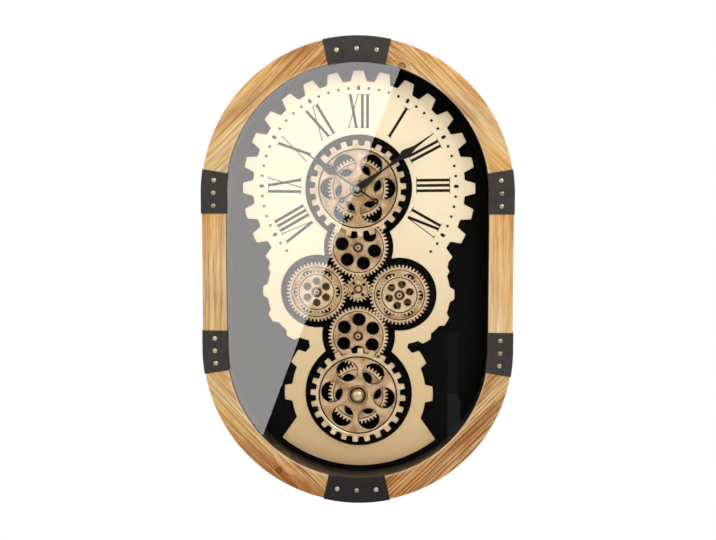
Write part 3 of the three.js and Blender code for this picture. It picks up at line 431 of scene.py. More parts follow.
def area(loop):
    """An outline's area, which is negative where it runs clockwise."""
    return sum(a[0] * b[1] - b[0] * a[1] for a, b in zip(loop, [*loop[1:], loop[0]])) / 2


def triangulated(loops):
    """Points and triangles inside some outlines, with the points and outlines that each comes from.

    The outlines are triangulated askew, because exactly upright sides can get stray points.
    """
    points, faces = [], []
    for loop in loops:
        order = list(range(len(points), len(points) + len(loop)))
        faces.append(order if area(loop) > 0 else order[::-1])
        points += [SKEW @ Vector(p) for p in loop]
    verts, _, triangles, sources, _, owners = delaunay_2d_cdt(points, [], faces, 1, EPSILON, True)
    verts = [tuple(SKEW.transposed() @ v) for v in verts]
    return verts, triangles, [source[0] if source else None for source in sources], owners


def region(adds, cuts=()):
    """The loops round the union of some outlines less some others, with the material on the left."""
    verts, triangles, _, owners = triangulated([*adds, *cuts])
    sides = set()
    for triangle, own in zip(triangles, owners):
        if own and all(i < len(adds) for i in own):
            sides.update(zip(triangle, [*triangle[1:], triangle[0]]))
    following = {a: b for a, b in sorted(sides) if (b, a) not in sides}
    loops = []
    while following:
        start, here = following.popitem()
        loop = [start]
        while here != start:
            loop.append(here)
            here = following.pop(here)
        loops.append([verts[i] for i in loop])
    return loops


def thinned(loop, least=0.12):
    """An outline without the points that lie nearer than a length to the one before."""
    kept = [loop[0]]
    for point in loop[1:]:
        if math.dist(point, kept[-1]) > least:
            kept.append(point)
    return kept if math.dist(kept[0], kept[-1]) > least else kept[:-1]


def rounded(loop, radius, least_turn=25, steps=4, most=0.45):
    """An outline with its corners rounded, each back to where a curve of the radius would leave its sides."""
    points = [Vector(p) for p in loop]
    count = len(points)
    along = [0]
    for i in range(count):
        along.append(along[-1] + (points[(i + 1) % count] - points[i]).length)
    whole = along[-1]

    def at(place):
        place %= whole
        i = bisect.bisect_right(along, place, 0, count) - 1
        return points[i].lerp(points[(i + 1) % count], (place - along[i]) / (along[i + 1] - along[i]))

    corners = []
    for i in range(count):
        turn = math.pi - (points[i - 1] - points[i]).angle(points[(i + 1) % count] - points[i], math.pi)
        if math.degrees(turn) >= least_turn:
            corners.append((along[i], turn, points[i]))
    smooth = []
    for k, (place, turn, tip) in enumerate(corners):
        next_place, next_turn, _ = corners[(k + 1) % len(corners)]
        behind = (place - corners[k - 1][0]) % whole or whole
        ahead = (next_place - place) % whole or whole
        reach = min(radius * math.tan(turn / 2), most * behind, most * ahead)
        start, end = at(place - reach), at(place + reach)
        for i in range(steps + 1):
            share = i / steps
            smooth.append(tuple(start.lerp(tip, share).lerp(tip.lerp(end, share), share)))
        stop = place + ahead - min(radius * math.tan(next_turn / 2), most * ahead)
        for lap in (0, whole):
            smooth += [tuple(p) for s, p in zip(along, points) if place + reach < s + lap < stop]
    return smooth or loop


def inset(loop, distance, least_lean=0.4):
    """An outline moved into the material on its left."""
    moved = []
    for before, here, after in zip([loop[-1], *loop[:-1]], loop, [*loop[1:], loop[0]]):
        first = (Vector(here) - Vector(before)).normalized()
        second = (Vector(after) - Vector(here)).normalized()
        normal = Vector((-first.y - second.y, first.x + second.x))
        normal = normal.normalized() if normal.length > EPSILON else Vector((-first.y, first.x))
        lean = max(least_lean, normal.dot(Vector((-first.y, first.x))))
        moved.append(tuple(Vector(here) + normal * distance / lean))
    return moved


class Form:
    """A closed mesh in the making, from rings of points joined by walls and covers.

    A face's tone says which of the piece's materials it takes.
    """

    def __init__(self):
        self.points = []
        self.faces = []
        self.tones = []

    def face(self, corners, tone=0):
        self.faces.append(tuple(corners))
        self.tones.append(tone)

    def add(self, points):
        start = len(self.points)
        self.points += points
        return list(range(start, len(self.points)))

    def ring(self, loop, out):
        return self.add([(x, out, z) for x, z in loop])

    def wall(self, *rings, tone=0):
        for first, second in zip(rings, rings[1:]):
            for i in range(len(first)):
                j = (i + 1) % len(first)
                self.face((first[i], first[j], second[j], second[i]), tone)

    def cover(self, *rings, tone=0):
        """A flat face inside the first ring, with the other rings as its holes."""
        indices = [i for ring in rings for i in ring]
        loops = [[(self.points[i][0], self.points[i][2]) for i in ring] for ring in rings]
        _, triangles, sources, owners = triangulated(loops)
        for triangle, own in zip(triangles, owners):
            if len(own) % 2:
                self.face([indices[sources[i]] for i in triangle], tone)

    def steps(self, centre, profile, sides):
        """Rings at (radius, out, tone) steps, joined by walls with the tone of their second ring."""
        rings = [self.ring(circle(centre, radius, sides), out) for radius, out, _ in profile]
        for first, second, (_, _, tone) in zip(rings, rings[1:], profile[1:]):
            self.wall(first, second, tone=tone)
        return rings

    def lathe(self, centre, profile, sides=48):
        """A turned solid, from its (radius, out, tone) steps."""
        rings = self.steps(centre, profile, sides)
        self.cover(rings[0])
        self.cover(rings[-1], tone=profile[-1][2])
        return self

    def plate(self, loops, depths, bevel):
        """A plate with a bevelled front edge, from loops that have the material on their left."""
        back, front = depths
        feet, tops = [], []
        for loop in loops:
            feet.append(self.ring(loop, back))
            tops.append(self.ring(inset(loop, bevel), front))
            self.wall(feet[-1], self.ring(loop, front - bevel), tops[-1])
        self.cover(*feet)
        self.cover(*tops)
        return self

    def sweep(self, profile, stations):
        """A rail: a closed (radius, out) profile carried past a row of (centre, angle) stations."""
        rings = []
        for centre, angle in stations:
            places = [(spot(centre, radius, angle), out) for radius, out in profile]
            rings.append(self.add([(x, out, z) for (x, z), out in places]))
        self.wall(*rings)
        _, triangles, sources, owners = triangulated([profile])
        for ring in (rings[0], rings[-1]):
            for triangle, own in zip(triangles, owners):
                if own:
                    self.face([ring[sources[i]] for i in triangle])
        return self


def mesh_of(form, name):
    mesh = bpy.data.meshes.new(name)
    mesh.from_pydata([(x * MM, -out * MM, z * MM) for x, out, z in form.points], [], form.faces)
    work = bmesh.new()
    work.from_mesh(mesh)
    bmesh.ops.recalc_face_normals(work, faces=work.faces)
    work.to_mesh(mesh)
    work.free()
    return mesh


def piece(name, form, paints, body="case"):
    """A new object of the part, from a form and a material for each of its tones."""
    mesh = mesh_of(form, name)
    mesh.shade_smooth()
    mesh.set_sharp_from_angle(angle=SMOOTH_ANGLE)
    made = bpy.data.objects.new(name, mesh)
    bpy.context.scene.collection.objects.link(made)
    for paint in paints if isinstance(paints, tuple) else (paints,):
        mesh.materials.append(paint)
    mesh.polygons.foreach_set("material_index", form.tones)
    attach(made, body)
    return made


def fine(node, form, paints, body="case"):
    """A finer piece in the place of a node."""
    made = piece(f"{node}_fine", form, paints, body)
    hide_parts(node)
    return made


def flat(node, loops, edge, paint, body="case"):
    """A finer plate in the place of a node."""
    return fine(node, Form().plate(loops, depth_of(node), edge), paint, body)


def srgb(red, green, blue):
    """A colour as it is seen on a screen, in 0 to 255, as the linear colour that a shader takes."""
    shares = [v / 255 for v in (red, green, blue)]
    return (*[s / 12.92 if s < 0.04045 else ((s + 0.055) / 1.055) ** 2.4 for s in shares], 1)


class Nodes:
    """A node tree in the making."""

    def __init__(self, tree):
        self.tree = tree

    def feed(self, socket, value):
        if isinstance(value, bpy.types.NodeSocket):
            self.tree.links.new(value, socket)
        else:
            socket.default_value = value

    def add(self, kind, values=None, **settings):
        made = self.tree.nodes.new("ShaderNode" + kind)
        for key, value in settings.items():
            setattr(made, key, value)
        for key, value in (values or {}).items():
            self.feed(made.inputs[key], value)
        return made

    def math(self, operation, first, second=0.0):
        return self.add("Math", {0: first, 1: second}, operation=operation).outputs[0]

    def times(self, first, second):
        return self.math("MULTIPLY", first, second)

    def seen_directly(self):
        """One where a surface shows the surround itself: to the camera, in gloss and through glass."""
        path = self.add("LightPath").outputs
        seen = self.math("MAXIMUM", path["Is Camera Ray"], path["Is Glossy Ray"])
        return self.math("MAXIMUM", seen, path["Is Transmission Ray"])


class Paint(Nodes):
    """A node material round one Principled shader."""

    def __init__(self, name, values=None):
        self.material = bpy.data.materials.new(name)
        self.material.use_nodes = True
        super().__init__(self.material.node_tree)
        self.shader = self.tree.nodes["Principled BSDF"]
        self.place = self.add("TexCoord").outputs["Object"]
        self.set(values or {})

    def set(self, values):
        for key, value in values.items():
            self.feed(self.shader.inputs[key], value)

    def blend(self, factor, first, second):
        """Puts a mix of two other shaders in the place of the Principled one."""
        mix = self.add("MixShader", {0: factor, 1: first.outputs[0], 2: second.outputs[0]})
        self.feed(self.tree.nodes["Material Output"].inputs["Surface"], mix.outputs[0])

    def mix(self, factor, first, second, blend="MIX"):
        values = {0: factor, 6: first, 7: second}
        return self.add("Mix", values, data_type="RGBA", blend_type=blend).outputs[2]

    def noise(self, scale, detail=3, roughness=0.5, vector=None):
        """Even clouds, or streaks where the scale is a triple, with scales in steps a metre."""
        vector = self.place if vector is None else vector
        if isinstance(scale, tuple):
            vector, scale = self.add("Mapping", {"Vector": vector, "Scale": scale}).outputs[0], 1
        values = {"Vector": vector, "Scale": scale, "Detail": detail, "Roughness": roughness}
        return self.add("TexNoise", values).outputs["Fac"]

    def ramp(self, factor, *stops):
        made = self.add("ValToRGB", {"Fac": factor})
        elements = made.color_ramp.elements
        while len(elements) < len(stops):
            elements.new(1)
        for element, (at, colour) in zip(elements, stops):
            element.position = at
            element.color = colour if isinstance(colour, tuple) else (colour, colour, colour, 1)
        return made.outputs["Color"]

    def parts(self, vector):
        return self.add("SeparateXYZ", {"Vector": vector}).outputs

    def distance(self, x, z, reach):
        """How far a place is from a point of the front, in steps of a length."""
        level = self.add("VectorMath", {0: self.place, 1: (1, 0, 1)}, operation="MULTIPLY").outputs[0]
        values = {0: level, 1: (x * MM, 0, z * MM)}
        apart = self.add("VectorMath", values, operation="DISTANCE").outputs["Value"]
        return self.math("DIVIDE", apart, reach * MM)

    def openness(self, reach, inside=False):
        """One where nothing of the piece is near, outside or inside it, and less in corners or at edges."""
        values = {"Distance": reach * MM}
        return self.add("AmbientOcclusion", values, only_local=True, inside=inside, samples=6).outputs["AO"]

    def edges(self, reach):
        """One along the piece's own edges, and zero away from them."""
        return self.math("SUBTRACT", 1.0, self.openness(reach, True))

    def done(self, colour, rough, height, depth, strength=0.4):
        """The material, with its colour, its roughness and relief of a depth in millimetres."""
        values = {"Height": height, "Distance": depth * MM, "Strength": strength}
        normal = self.add("Bump", values).outputs[0]
        self.set({"Base Color": colour, "Roughness": rough, "Normal": normal})
        return self.material


def pine_paint():
    """Oiled pine: rings round a pith, dark and pale streaks, fibres, knots and painted edge highlights."""
    paint = Paint("pine_oiled", {"Specular IOR Level": 0.22})
    grain = paint.add("Attribute", attribute_name="grain").outputs["Vector"]
    lip_highlight = paint.add("Attribute", attribute_name="lip_highlight").outputs["Fac"]
    figure = paint.add("Attribute", attribute_name="figure").outputs["Fac"]

    def streaks(along, across, detail=3, roughness=0.6):
        return paint.noise((along, across, across), detail, roughness, grain)

    knot = paint.math("MINIMUM", *[paint.distance(x, z, size) for x, z, size in KNOTS])
    bulge = paint.ramp(paint.math("DIVIDE", knot, 6), (0, 1.0), (0.4, 0.3), (1, 0.0))
    _, across, depth = paint.parts(grain)
    across = paint.math("ADD", across, paint.times(streaks(4, 9, 2, 0.5), PITH_DRIFT * MM))
    square = paint.math("ADD", paint.math("POWER", across, 2), paint.math("POWER", depth, 2))
    radius = paint.math("ADD", paint.math("SQRT", square), paint.times(bulge, KNOT_BULGE * MM))
    wander = paint.times(streaks(5, 60, 2, 0.5), 1.3)
    ring = paint.math("FRACT", paint.math("ADD", paint.math("DIVIDE", radius, RING_PITCH * MM), wander))
    late = paint.ramp(ring, (0, 0.0), (0.52, 0.03), (0.78, 0.5), (0.9, 1.0), (1, 0.05))
    strength = paint.ramp(streaks(3, 40), (0.34, 0.16), (0.58, 1.0))
    late = paint.times(paint.times(late, strength), figure)
    stops = ((0.28, srgb(236, 172, 96)), (0.46, srgb(254, 206, 134)), (0.68, srgb(255, 232, 180)))
    colour = paint.ramp(streaks(5, 26, 3, 0.55), *stops)
    deep = paint.ramp(streaks(7, 44), (0.38, srgb(186, 140, 96)), (0.56, 1.0))
    colour = paint.mix(figure, colour, deep, "MULTIPLY")
    warm = paint.ramp(paint.math("DIVIDE", figure, 2), (0.4, 1.0), (0.8, srgb(222, 182, 138)))
    colour = paint.mix(1.0, colour, warm, "MULTIPLY")
    colour = paint.mix(late, colour, srgb(128, 66, 22))
    streak = paint.times(paint.ramp(streaks(9, 420), (0.36, 0.8), (0.5, 0.0)), figure)
    colour = paint.mix(streak, colour, srgb(156, 88, 34))
    pale = paint.ramp(streaks(11, 360), (0.54, 0.0), (0.7, 0.5))
    colour = paint.mix(pale, colour, srgb(255, 232, 182))
    fibre = streaks(24, 800)
    colour = paint.mix(0.5, colour, paint.ramp(fibre, (0.34, srgb(202, 168, 132)), (0.56, 1.0)), "MULTIPLY")
    stops = ((0, 0.6), (0.2, 0.4), (0.36, 0.6), (0.46, 0.95), (0.6, 0.0))
    heart = paint.ramp(paint.math("DIVIDE", knot, 2), *stops)
    colour = paint.mix(heart, colour, srgb(104, 46, 18))
    # Painted highlight along the board's edges, where their rounding would catch the light
    edge_highlight = paint.ramp(paint.edges(4.5), (0.3, 0.0), (0.8, 0.5))
    colour = paint.mix(edge_highlight, colour, srgb(255, 232, 190))
    # Painted highlight on the boards' inner lip
    colour = paint.mix(paint.times(lip_highlight, 0.5), colour, srgb(248, 216, 170))
    rough = paint.ramp(fibre, (0.2, 0.52), (0.8, 0.66))
    return paint.done(colour, rough, paint.math("ADD", fibre, late), 0.12, 0.5)


def band_paint():
    """Black satin enamel on steel, a little uneven, with a painted shade towards the clock's foot."""
    paint = Paint("band_enamel")
    cloud = paint.noise(60, 4, 0.6)
    colour = paint.ramp(cloud, (0.3, srgb(30, 24, 20)), (0.7, srgb(54, 46, 41)))
    height = paint.math("DIVIDE", paint.parts(paint.place)["Z"], 2 * MIDDLE * MM)
    # Painted shade: darker and less glossy towards the clock's foot, as if lit from above
    foot_shade = paint.ramp(height, (0.8, 0.0), (0.98, 0.85))
    colour = paint.mix(foot_shade, colour, srgb(12, 8, 6))
    paint.set({"Specular IOR Level": paint.ramp(foot_shade, (0, 0.42), (1, 0.24))})
    rough = paint.ramp(cloud, (0.3, 0.48), (0.7, 0.62))
    return paint.done(colour, rough, paint.noise(900, 3, 0.6), 0.04, 0.5)


def metal_paint(name, dark, pale, rough, cloud_scale=45, shade_and_highlight=0.0, shaded=()):
    """Plated metal: uneven tone, a fine satin grain, painted highlights on edges and painted shade in
    corners.

    Round the axes in the last list, where a disc covers it, it is darkened by a painted shadow of the disc.
    """
    paint = Paint(name, {"Metallic": 1.0})
    cloud = paint.noise(cloud_scale, 4, 0.6)
    speck = paint.noise(1400, 2, 0.6)
    tone = paint.math("ADD", paint.times(cloud, 0.75), paint.times(speck, 0.25))
    colour = paint.ramp(tone, (0.36, dark), (0.64, pale))
    # Painted shade where the piece's own shape closes round a place, and a painted highlight along its edges
    if shade_and_highlight:
        shade = paint.ramp(paint.openness(2.6), (0.35, srgb(74, 50, 28)), (0.85, 1.0))
        colour = paint.mix(shade_and_highlight, colour, shade, "MULTIPLY")
        colour = paint.mix(paint.times(paint.edges(0.7), shade_and_highlight), colour, srgb(252, 232, 192))
    if shaded:
        # Painted shadow of the disc in front, over the gear inside the disc's root
        near = paint.math("MINIMUM", *[paint.distance(*axis, DISC_ROOT) for axis in shaded])
        colour = paint.mix(paint.ramp(near, (0.78, 0.92), (0.96, 0.0)), colour, srgb(46, 27, 12))
    return paint.done(colour, paint.ramp(tone, (0.3, rough - 0.05), (0.7, rough + 0.06)), speck, 0.02)


def gold_paint():
    """Satin gilt on the dial plate, with painted shade towards its foot and a fine cross-brushed grain."""
    paint = Paint("dial_gilt", {"Metallic": 0.55})
    top = (HAND[1] + DIAL_TIP) * MM
    foot = (MIDDLE - STRAIGHT - BASE_RADIUS) * MM
    share = paint.math("DIVIDE", paint.math("SUBTRACT", paint.parts(paint.place)["Z"], foot), top - foot)
    uneven = paint.times(paint.math("SUBTRACT", paint.noise(9, 3, 0.5), 0.5), 0.22)
    # Painted shade: the gilt darkens from the dial's top down to its foot
    stops = (
        (0.02, srgb(222, 188, 138)),
        (0.3, srgb(237, 209, 164)),
        (0.6, srgb(250, 231, 196)),
        (0.95, srgb(254, 236, 199)),
    )
    colour = paint.ramp(paint.math("ADD", share, uneven), *stops)
    brushed = paint.noise((1500, 60, 60), 3, 0.6)
    colour = paint.mix(0.18, colour, paint.ramp(brushed, (0.3, 0.72), (0.7, 1.0)), "MULTIPLY")
    return paint.done(colour, paint.ramp(brushed, (0.3, 0.36), (0.7, 0.46)), brushed, 0.01)


def matt_paint(name, dark, pale, rough, gloss=0.35, cloud_scale=80, grain=1600, relief=0.03):
    """Paint, moulded plastic or ink: near one colour, with a fine texture."""
    paint = Paint(name, {"Specular IOR Level": gloss})
    cloud = paint.noise(cloud_scale, 4, 0.6)
    colour = paint.ramp(cloud, (0.3, dark), (0.7, pale))
    rough = paint.ramp(cloud, (0.3, rough - 0.04), (0.7, rough + 0.06))
    return paint.done(colour, rough, paint.noise(grain, 2, 0.6), relief)


def jacket_paint():
    """A plain printed cell jacket: a slate body with a pale band round one end."""
    paint = Paint("cell_jacket", {"Metallic": 0.4})
    band = paint.math("GREATER_THAN", paint.parts(paint.place)["X"], CELL_BAND * MM)
    cloud = paint.ramp(paint.noise(120, 3, 0.5), (0.3, srgb(44, 62, 74)), (0.7, srgb(56, 76, 90)))
    colour = paint.mix(band, cloud, srgb(206, 204, 196))
    return paint.done(colour, 0.34, paint.noise(1800, 2, 0.5), 0.01, 0.3)


PINE = pine_paint()
BAND_BLACK = band_paint()
BRASS = metal_paint("brass_pale", srgb(164, 142, 104), srgb(224, 206, 168), 0.3)
TACK_BRASS = metal_paint("tack_brass", srgb(126, 116, 94), srgb(188, 178, 150), 0.3)
STUD_BRASS = metal_paint("stud_brass", srgb(192, 172, 138), srgb(238, 224, 196), 0.28)
STEEL = metal_paint("steel_bright", srgb(160, 154, 144), srgb(216, 210, 200), 0.24)
BRONZE = (srgb(156, 117, 75), srgb(233, 201, 159), 0.34, 60, 0.65)
BRONZES = (
    metal_paint("gear_bronze", *BRONZE),
    # The dark tone is painted shade, for grooves, holes, bores and recesses
    metal_paint("gear_painted_shade", srgb(52, 34, 18), srgb(92, 64, 38), 0.5, 90),
    metal_paint("gear_rim", srgb(198, 167, 126), srgb(242, 217, 180), 0.34, 70, 0.5),
    # The pale tone is a painted highlight, for bevels round teeth, holes and steps
    metal_paint("gear_painted_highlight", srgb(220, 196, 154), srgb(250, 232, 196), 0.3, 90),
)
COVERED_BRONZES = (metal_paint("gear_disc_shadow", *BRONZE, (LEFT, RIGHT)), *BRONZES[1:])
GOLD = gold_paint()
INK_BLACK = matt_paint("dial_ink", srgb(26, 21, 11), srgb(38, 32, 20), 0.6, 0.15)
HAND_BLACK = matt_paint("hand_enamel", srgb(10, 9, 8), srgb(18, 16, 15), 0.4, 0.25)
PANEL_BLACK = matt_paint("panel_matt", srgb(6, 6, 5), srgb(11, 10, 9), 0.8, 0.08)
PANEL_BACK = matt_paint("panel_bare", srgb(34, 31, 28), srgb(50, 46, 41), 0.72, 0.2, 40, 900, 0.08)
LINER_BROWN = matt_paint("liner_brown", srgb(44, 36, 27), srgb(62, 51, 39), 0.42)
MOULDED = (0.46, 0.4, 120, 2400, 0.06)
PLASTIC_BLACK = matt_paint("moulded_black", srgb(24, 24, 25), srgb(34, 34, 35), *MOULDED)
PLASTIC_WHITE = matt_paint("moulded_white", srgb(214, 211, 202), srgb(226, 223, 215), *MOULDED)
CLEAR = {"Base Color": (1, 1, 1, 1), "Roughness": 0, "IOR": 1.52, "Transmission Weight": 1}
GLASS = Paint("clear_glass", CLEAR).material
JACKET = jacket_paint()


# Boards of the case
def turn_stations(upward, start, end):
    """Stations round one of the case's two half rings."""
    count = math.ceil(abs(end - start) / STATION_STEP)
    return [(end_centre(upward), start + (end - start) * i / count) for i in range(count + 1)]


def side_stations(side, start, end, count=12):
    """Stations along a straight side, between two heights."""
    return [((0, start + (end - start) * i / count), 90 * side) for i in range(count + 1)]


def rail_radius(x, z):
    """How far a point is from the case's centre line, as its rail measures it."""
    return math.hypot(x, max(0, abs(z - MIDDLE) - STRAIGHT))


def add_grain(board, direction, pith_radius, pith_depth, shift, strength):
    """Gives a board's points their place in its grain, the strength of its figure and its lip's painted
    highlight.
    """
    mesh = board.data
    for name, kind in (("grain", "FLOAT_VECTOR"), ("lip_highlight", "FLOAT"), ("figure", "FLOAT")):
        mesh.attributes.new(name, kind, "POINT")
    grain, lip_highlight, figure = [mesh.attributes[name].data for name in ("grain", "lip_highlight", "figure")]
    along = Vector(direction).normalized()
    outward = Vector((-along.y, along.x))
    middle = Vector((0, MIDDLE))
    for i, vertex in enumerate(mesh.vertices):
        place = Vector((vertex.co.x, vertex.co.z)) / MM
        out = -vertex.co.y / MM
        across = abs((place - middle).dot(outward)) - pith_radius
        grain[i].vector = Vector((place.dot(along) + shift, across, out - WOOD_FRONT + pith_depth)) * MM
        inner = rail_radius(*place) < WOOD_IN + LIP_HIGHLIGHT_REACH
        lip_highlight[i].value = 1 if inner and out > WOOD_FRONT - WOOD_ROUND else 0
        figure[i].value = strength * (FIGURE_MIDDLE - FIGURE_FALL * abs(place.x) / OUTER)


def carve(target, low, high, depth):
    """Cuts a pocket into a piece's back, between two corners."""
    form = Form()
    rings = [form.ring(rectangle(low, high), out) for out in (POCKET_START, depth)]
    form.wall(*rings)
    for ring in rings:
        form.cover(ring)
    cutter = bpy.data.objects.new("cutter", mesh_of(form, "cutter"))
    bpy.context.scene.collection.objects.link(cutter)
    cut = target.modifiers.new("pocket", "BOOLEAN")
    cut.object = cutter
    cut.solver = "EXACT"
    bpy.context.view_layer.update()
    done = bpy.data.meshes.new_from_object(target.evaluated_get(bpy.context.evaluated_depsgraph_get()))
    target.modifiers.clear()
    target.data = done
    bpy.data.objects.remove(cutter)


board_profile = [
    (WOOD_IN, WOOD_FRONT),
    (WOOD_OUT, WOOD_FRONT),
    (WOOD_OUT, 0),
    (REBATE, 0),
    (REBATE, LEDGE),
    (WOOD_IN, LEDGE),
]
board_profile = rounded(board_profile, WOOD_ROUND)
seam = math.degrees(GAP / 2 / RAIL_MIDDLE)
side_ends = (MIDDLE - STRAIGHT + GAP / 2, MIDDLE + STRAIGHT - GAP / 2)

# Each board: its stations, its grain's direction, its pith's radius and depth, a shift and its figure
boards = {
    "board_arc_top_left": (turn_stations(1, -90 + seam, -seam), (1, 1), 202, 34, 0, 0.95),
    "board_arc_top_right": (turn_stations(1, seam, 90 - seam), (1, -1), 206, 36, 170, 0.9),
    "board_arc_bottom_right": (turn_stations(-1, 90 + seam, 180 - seam), (1, 1), 250, 24, 410, 1.5),
    "board_arc_bottom_left": (turn_stations(-1, 180 + seam, 270 - seam), (1, -1), 212, 34, 690, 1.05),
    "board_side_left": (side_stations(-1, *side_ends), (0, 1), 216, 30, 930, 0.8),
    "board_side_right": (side_stations(1, *side_ends), (0, 1), 224, 44, 1270, 0.5),
}
pockets = (
    ((HANGER_X[0] - GAP, HANGER_Z[0] - GAP), (HANGER_X[1] + GAP, HANGER_Z[1] + GAP), HANGER_OUT[1] + GAP),
    ((-POCKET_HALF, HANGER_Z[0] + POCKET_MARGIN), (POCKET_HALF, HANGER_Z[1] - POCKET_MARGIN), POCKET_DEPTH),
)
for name, (stations, direction, pith_radius, pith_depth, shift, strength) in boards.items():
    board = fine(name, Form().sweep(board_profile, stations), PINE)
    if "top" in name:
        for pocket in pockets:
            carve(board, *pocket)
    arc_shift = STRAIGHT * math.sqrt(0.5) if "arc" in name else 0
    add_grain(board, direction, pith_radius + arc_shift, pith_depth, shift, strength)


# Bands and their tacks
def dome(radius, foot, tip, last_angle):
    """The steps of a turned dome up to near its top."""
    turns = [math.radians(last_angle * i / 8) for i in range(1, 9)]
    return [(radius * math.cos(turn), foot + (tip - foot) * math.sin(turn), 0) for turn in turns]


def tack(name, centre):
    edge = BAND_FRONT + TACK_EDGE
    profile = [(TACK_RADIUS, BAND_FRONT, 0), (TACK_RADIUS, edge, 0)]
    profile += dome(TACK_RADIUS, edge, BAND_FRONT + TACK_HEIGHT, TACK_DOME)
    piece(name, Form().lathe(centre, profile, 32), TACK_BRASS)


def band(name, stations):
    fine(f"band_{name}", Form().sweep(band_profile, stations), BAND_BLACK)


band_profile = [
    (OUTER, BAND_BACK),
    (OUTER, BAND_FRONT),
    (BAND_IN - BAND, BAND_FRONT),
    (BAND_IN - BAND, LEDGE + GAP),
    (BAND_IN, LEDGE + GAP),
    (BAND_IN, BAND_FRONT - BAND),
    (OUTER - BAND, BAND_FRONT - BAND),
    (OUTER - BAND, BAND_BACK),
]
band_profile = rounded(band_profile, BAND_ROUND)
for upward, end, level in ((1, "top", "upper"), (-1, "bottom", "lower")):
    centre = end_centre(upward)
    middle = 90 - 90 * upward
    band(end, turn_stations(upward, middle - END_BAND_ANGLE, middle + END_BAND_ANGLE))
    for step in (-1, 0, 1):
        angle = middle + math.degrees(step * END_TACK_PITCH / RAIL_MIDDLE)
        tack(f"tack_{end}_{step + 2}", spot(centre, RAIL_MIDDLE, angle))
    for side, side_name in ((-1, "left"), (1, "right")):
        name = f"{level}_{side_name}"
        lean = side * upward
        straight = side_stations(side, centre[1] - upward * SIDE_BAND_LENGTH, centre[1])[:-1]
        band(name, straight + turn_stations(upward, 90 * side, 90 * side - lean * SIDE_BAND_ANGLE))
        for step in (-1, 0, 1):
            along = SIDE_TACK_SHIFT + step * SIDE_TACK_PITCH
            place = (side * RAIL_MIDDLE, centre[1] + upward * along)
            if along > 0:
                place = spot(centre, RAIL_MIDDLE, 90 * side - lean * math.degrees(along / RAIL_MIDDLE))
            tack(f"tack_{name}_{step + 2}", place)

# Glass and liner
pane = flat("glass_pane", region([stadium(PANE_RADIUS)]), PANE_EDGE, GLASS)
pane.visible_shadow = False
liner_loops = region([stadium(PANE_RADIUS)], [stadium(PANE_RADIUS - LINER)])
flat("rim_liner", liner_loops, LINER_EDGE, LINER_BROWN)


# Dial plate
def dial_loops():
    """The loops round the dial plate and its cut-outs."""
    face = block_teeth(HAND, DIAL_RING, teeth=range(-DIAL_LAST_TOOTH, DIAL_LAST_TOOTH + 1))
    adds = [face, circle(LOWER, LOBE_ROOT, 120)]
    for side, axis in ((-1, LEFT), (1, RIGHT)):
        adds.append(block_teeth(axis, LOBE_RING, teeth=[side * i for i in LOBE_TEETH]))
        adds.append(circle(spot(axis, LOBE_ROOT, side * LOBE_GUSSET_ANGLE), LOBE_GUSSET))
    adds.append(block_teeth(DRIVE, BOTTOM_RING, teeth=[side * i for side in (1, -1) for i in BOTTOM_TEETH]))
    base = arc(end_centre(-1), BASE_RADIUS, 180 - BASE_ANGLE, 180 + BASE_ANGLE)
    neck = [spot(DRIVE, BOTTOM_ROOT, -BASE_NECK_ANGLE), DRIVE, spot(DRIVE, BOTTOM_ROOT, BASE_NECK_ANGLE)]
    adds.append(base + neck)
    return region(adds, [circle(centre, radius, 120) for centre, radius in CUTOUTS])


loops = [thinned(rounded(loop, DIAL_ROUND, 20)) for loop in dial_loops()]
flat("dial_plate", loops, DIAL_EDGE, GOLD)


# Numerals and minute marks, printed on the dial
def bar(inner, outer, width):
    """A stroke from the inner end of a numeral to its outer end."""
    half = width / 2
    inner_end = [(inner - half, NUMERAL_IN), (inner + half, NUMERAL_IN)]
    outer_end = [(outer + half, NUMERAL_OUT), (outer - half, NUMERAL_OUT)]
    return inner_end + outer_end


def serif(middle, half, radius):
    return rectangle((middle - half, radius - HAIRLINE / 2), (middle + half, radius + HAIRLINE / 2))


def numeral(text, angle):
    """A Roman numeral whose foot points to the middle of the dial."""
    here = -sum(GLYPHS[glyph][0] for glyph in text) / 2
    shapes = []
    for glyph in text:
        width, strokes, serifs = GLYPHS[glyph]
        middle = here + width / 2
        shapes += [bar(middle + inner, middle + outer, thick) for inner, outer, thick in strokes]
        shapes += [serif(middle + shift, half, radius) for shift, half, radius in serifs]
        here += width
    loops = region([placed(shape, angle) for shape in shapes])
    piece(f"numeral_{text}", Form().plate(loops, INK_DEPTHS, INK_EDGE), INK_BLACK)


for text, angle in HOURS.items():
    numeral(text, angle)

marks = Form()
for angle in range(-LAST_MARK, LAST_MARK + 1, 6):
    if angle % 30 == 0:
        oval = [(HOUR_MARK[0] * x, MARK_RADIUS + HOUR_MARK[1] * y) for x, y in circle((0, 0), 1, 20)]
        loop = placed(oval, angle)
    else:
        square = rectangle((-MARK_HALF, MARK_RADIUS - MARK_HALF), (MARK_HALF, MARK_RADIUS + MARK_HALF))
        loop = rounded(placed(square, angle), MARK_ROUND)
    marks.plate(region([loop]), INK_DEPTHS, INK_EDGE)
piece("minute_marks", marks, INK_BLACK)


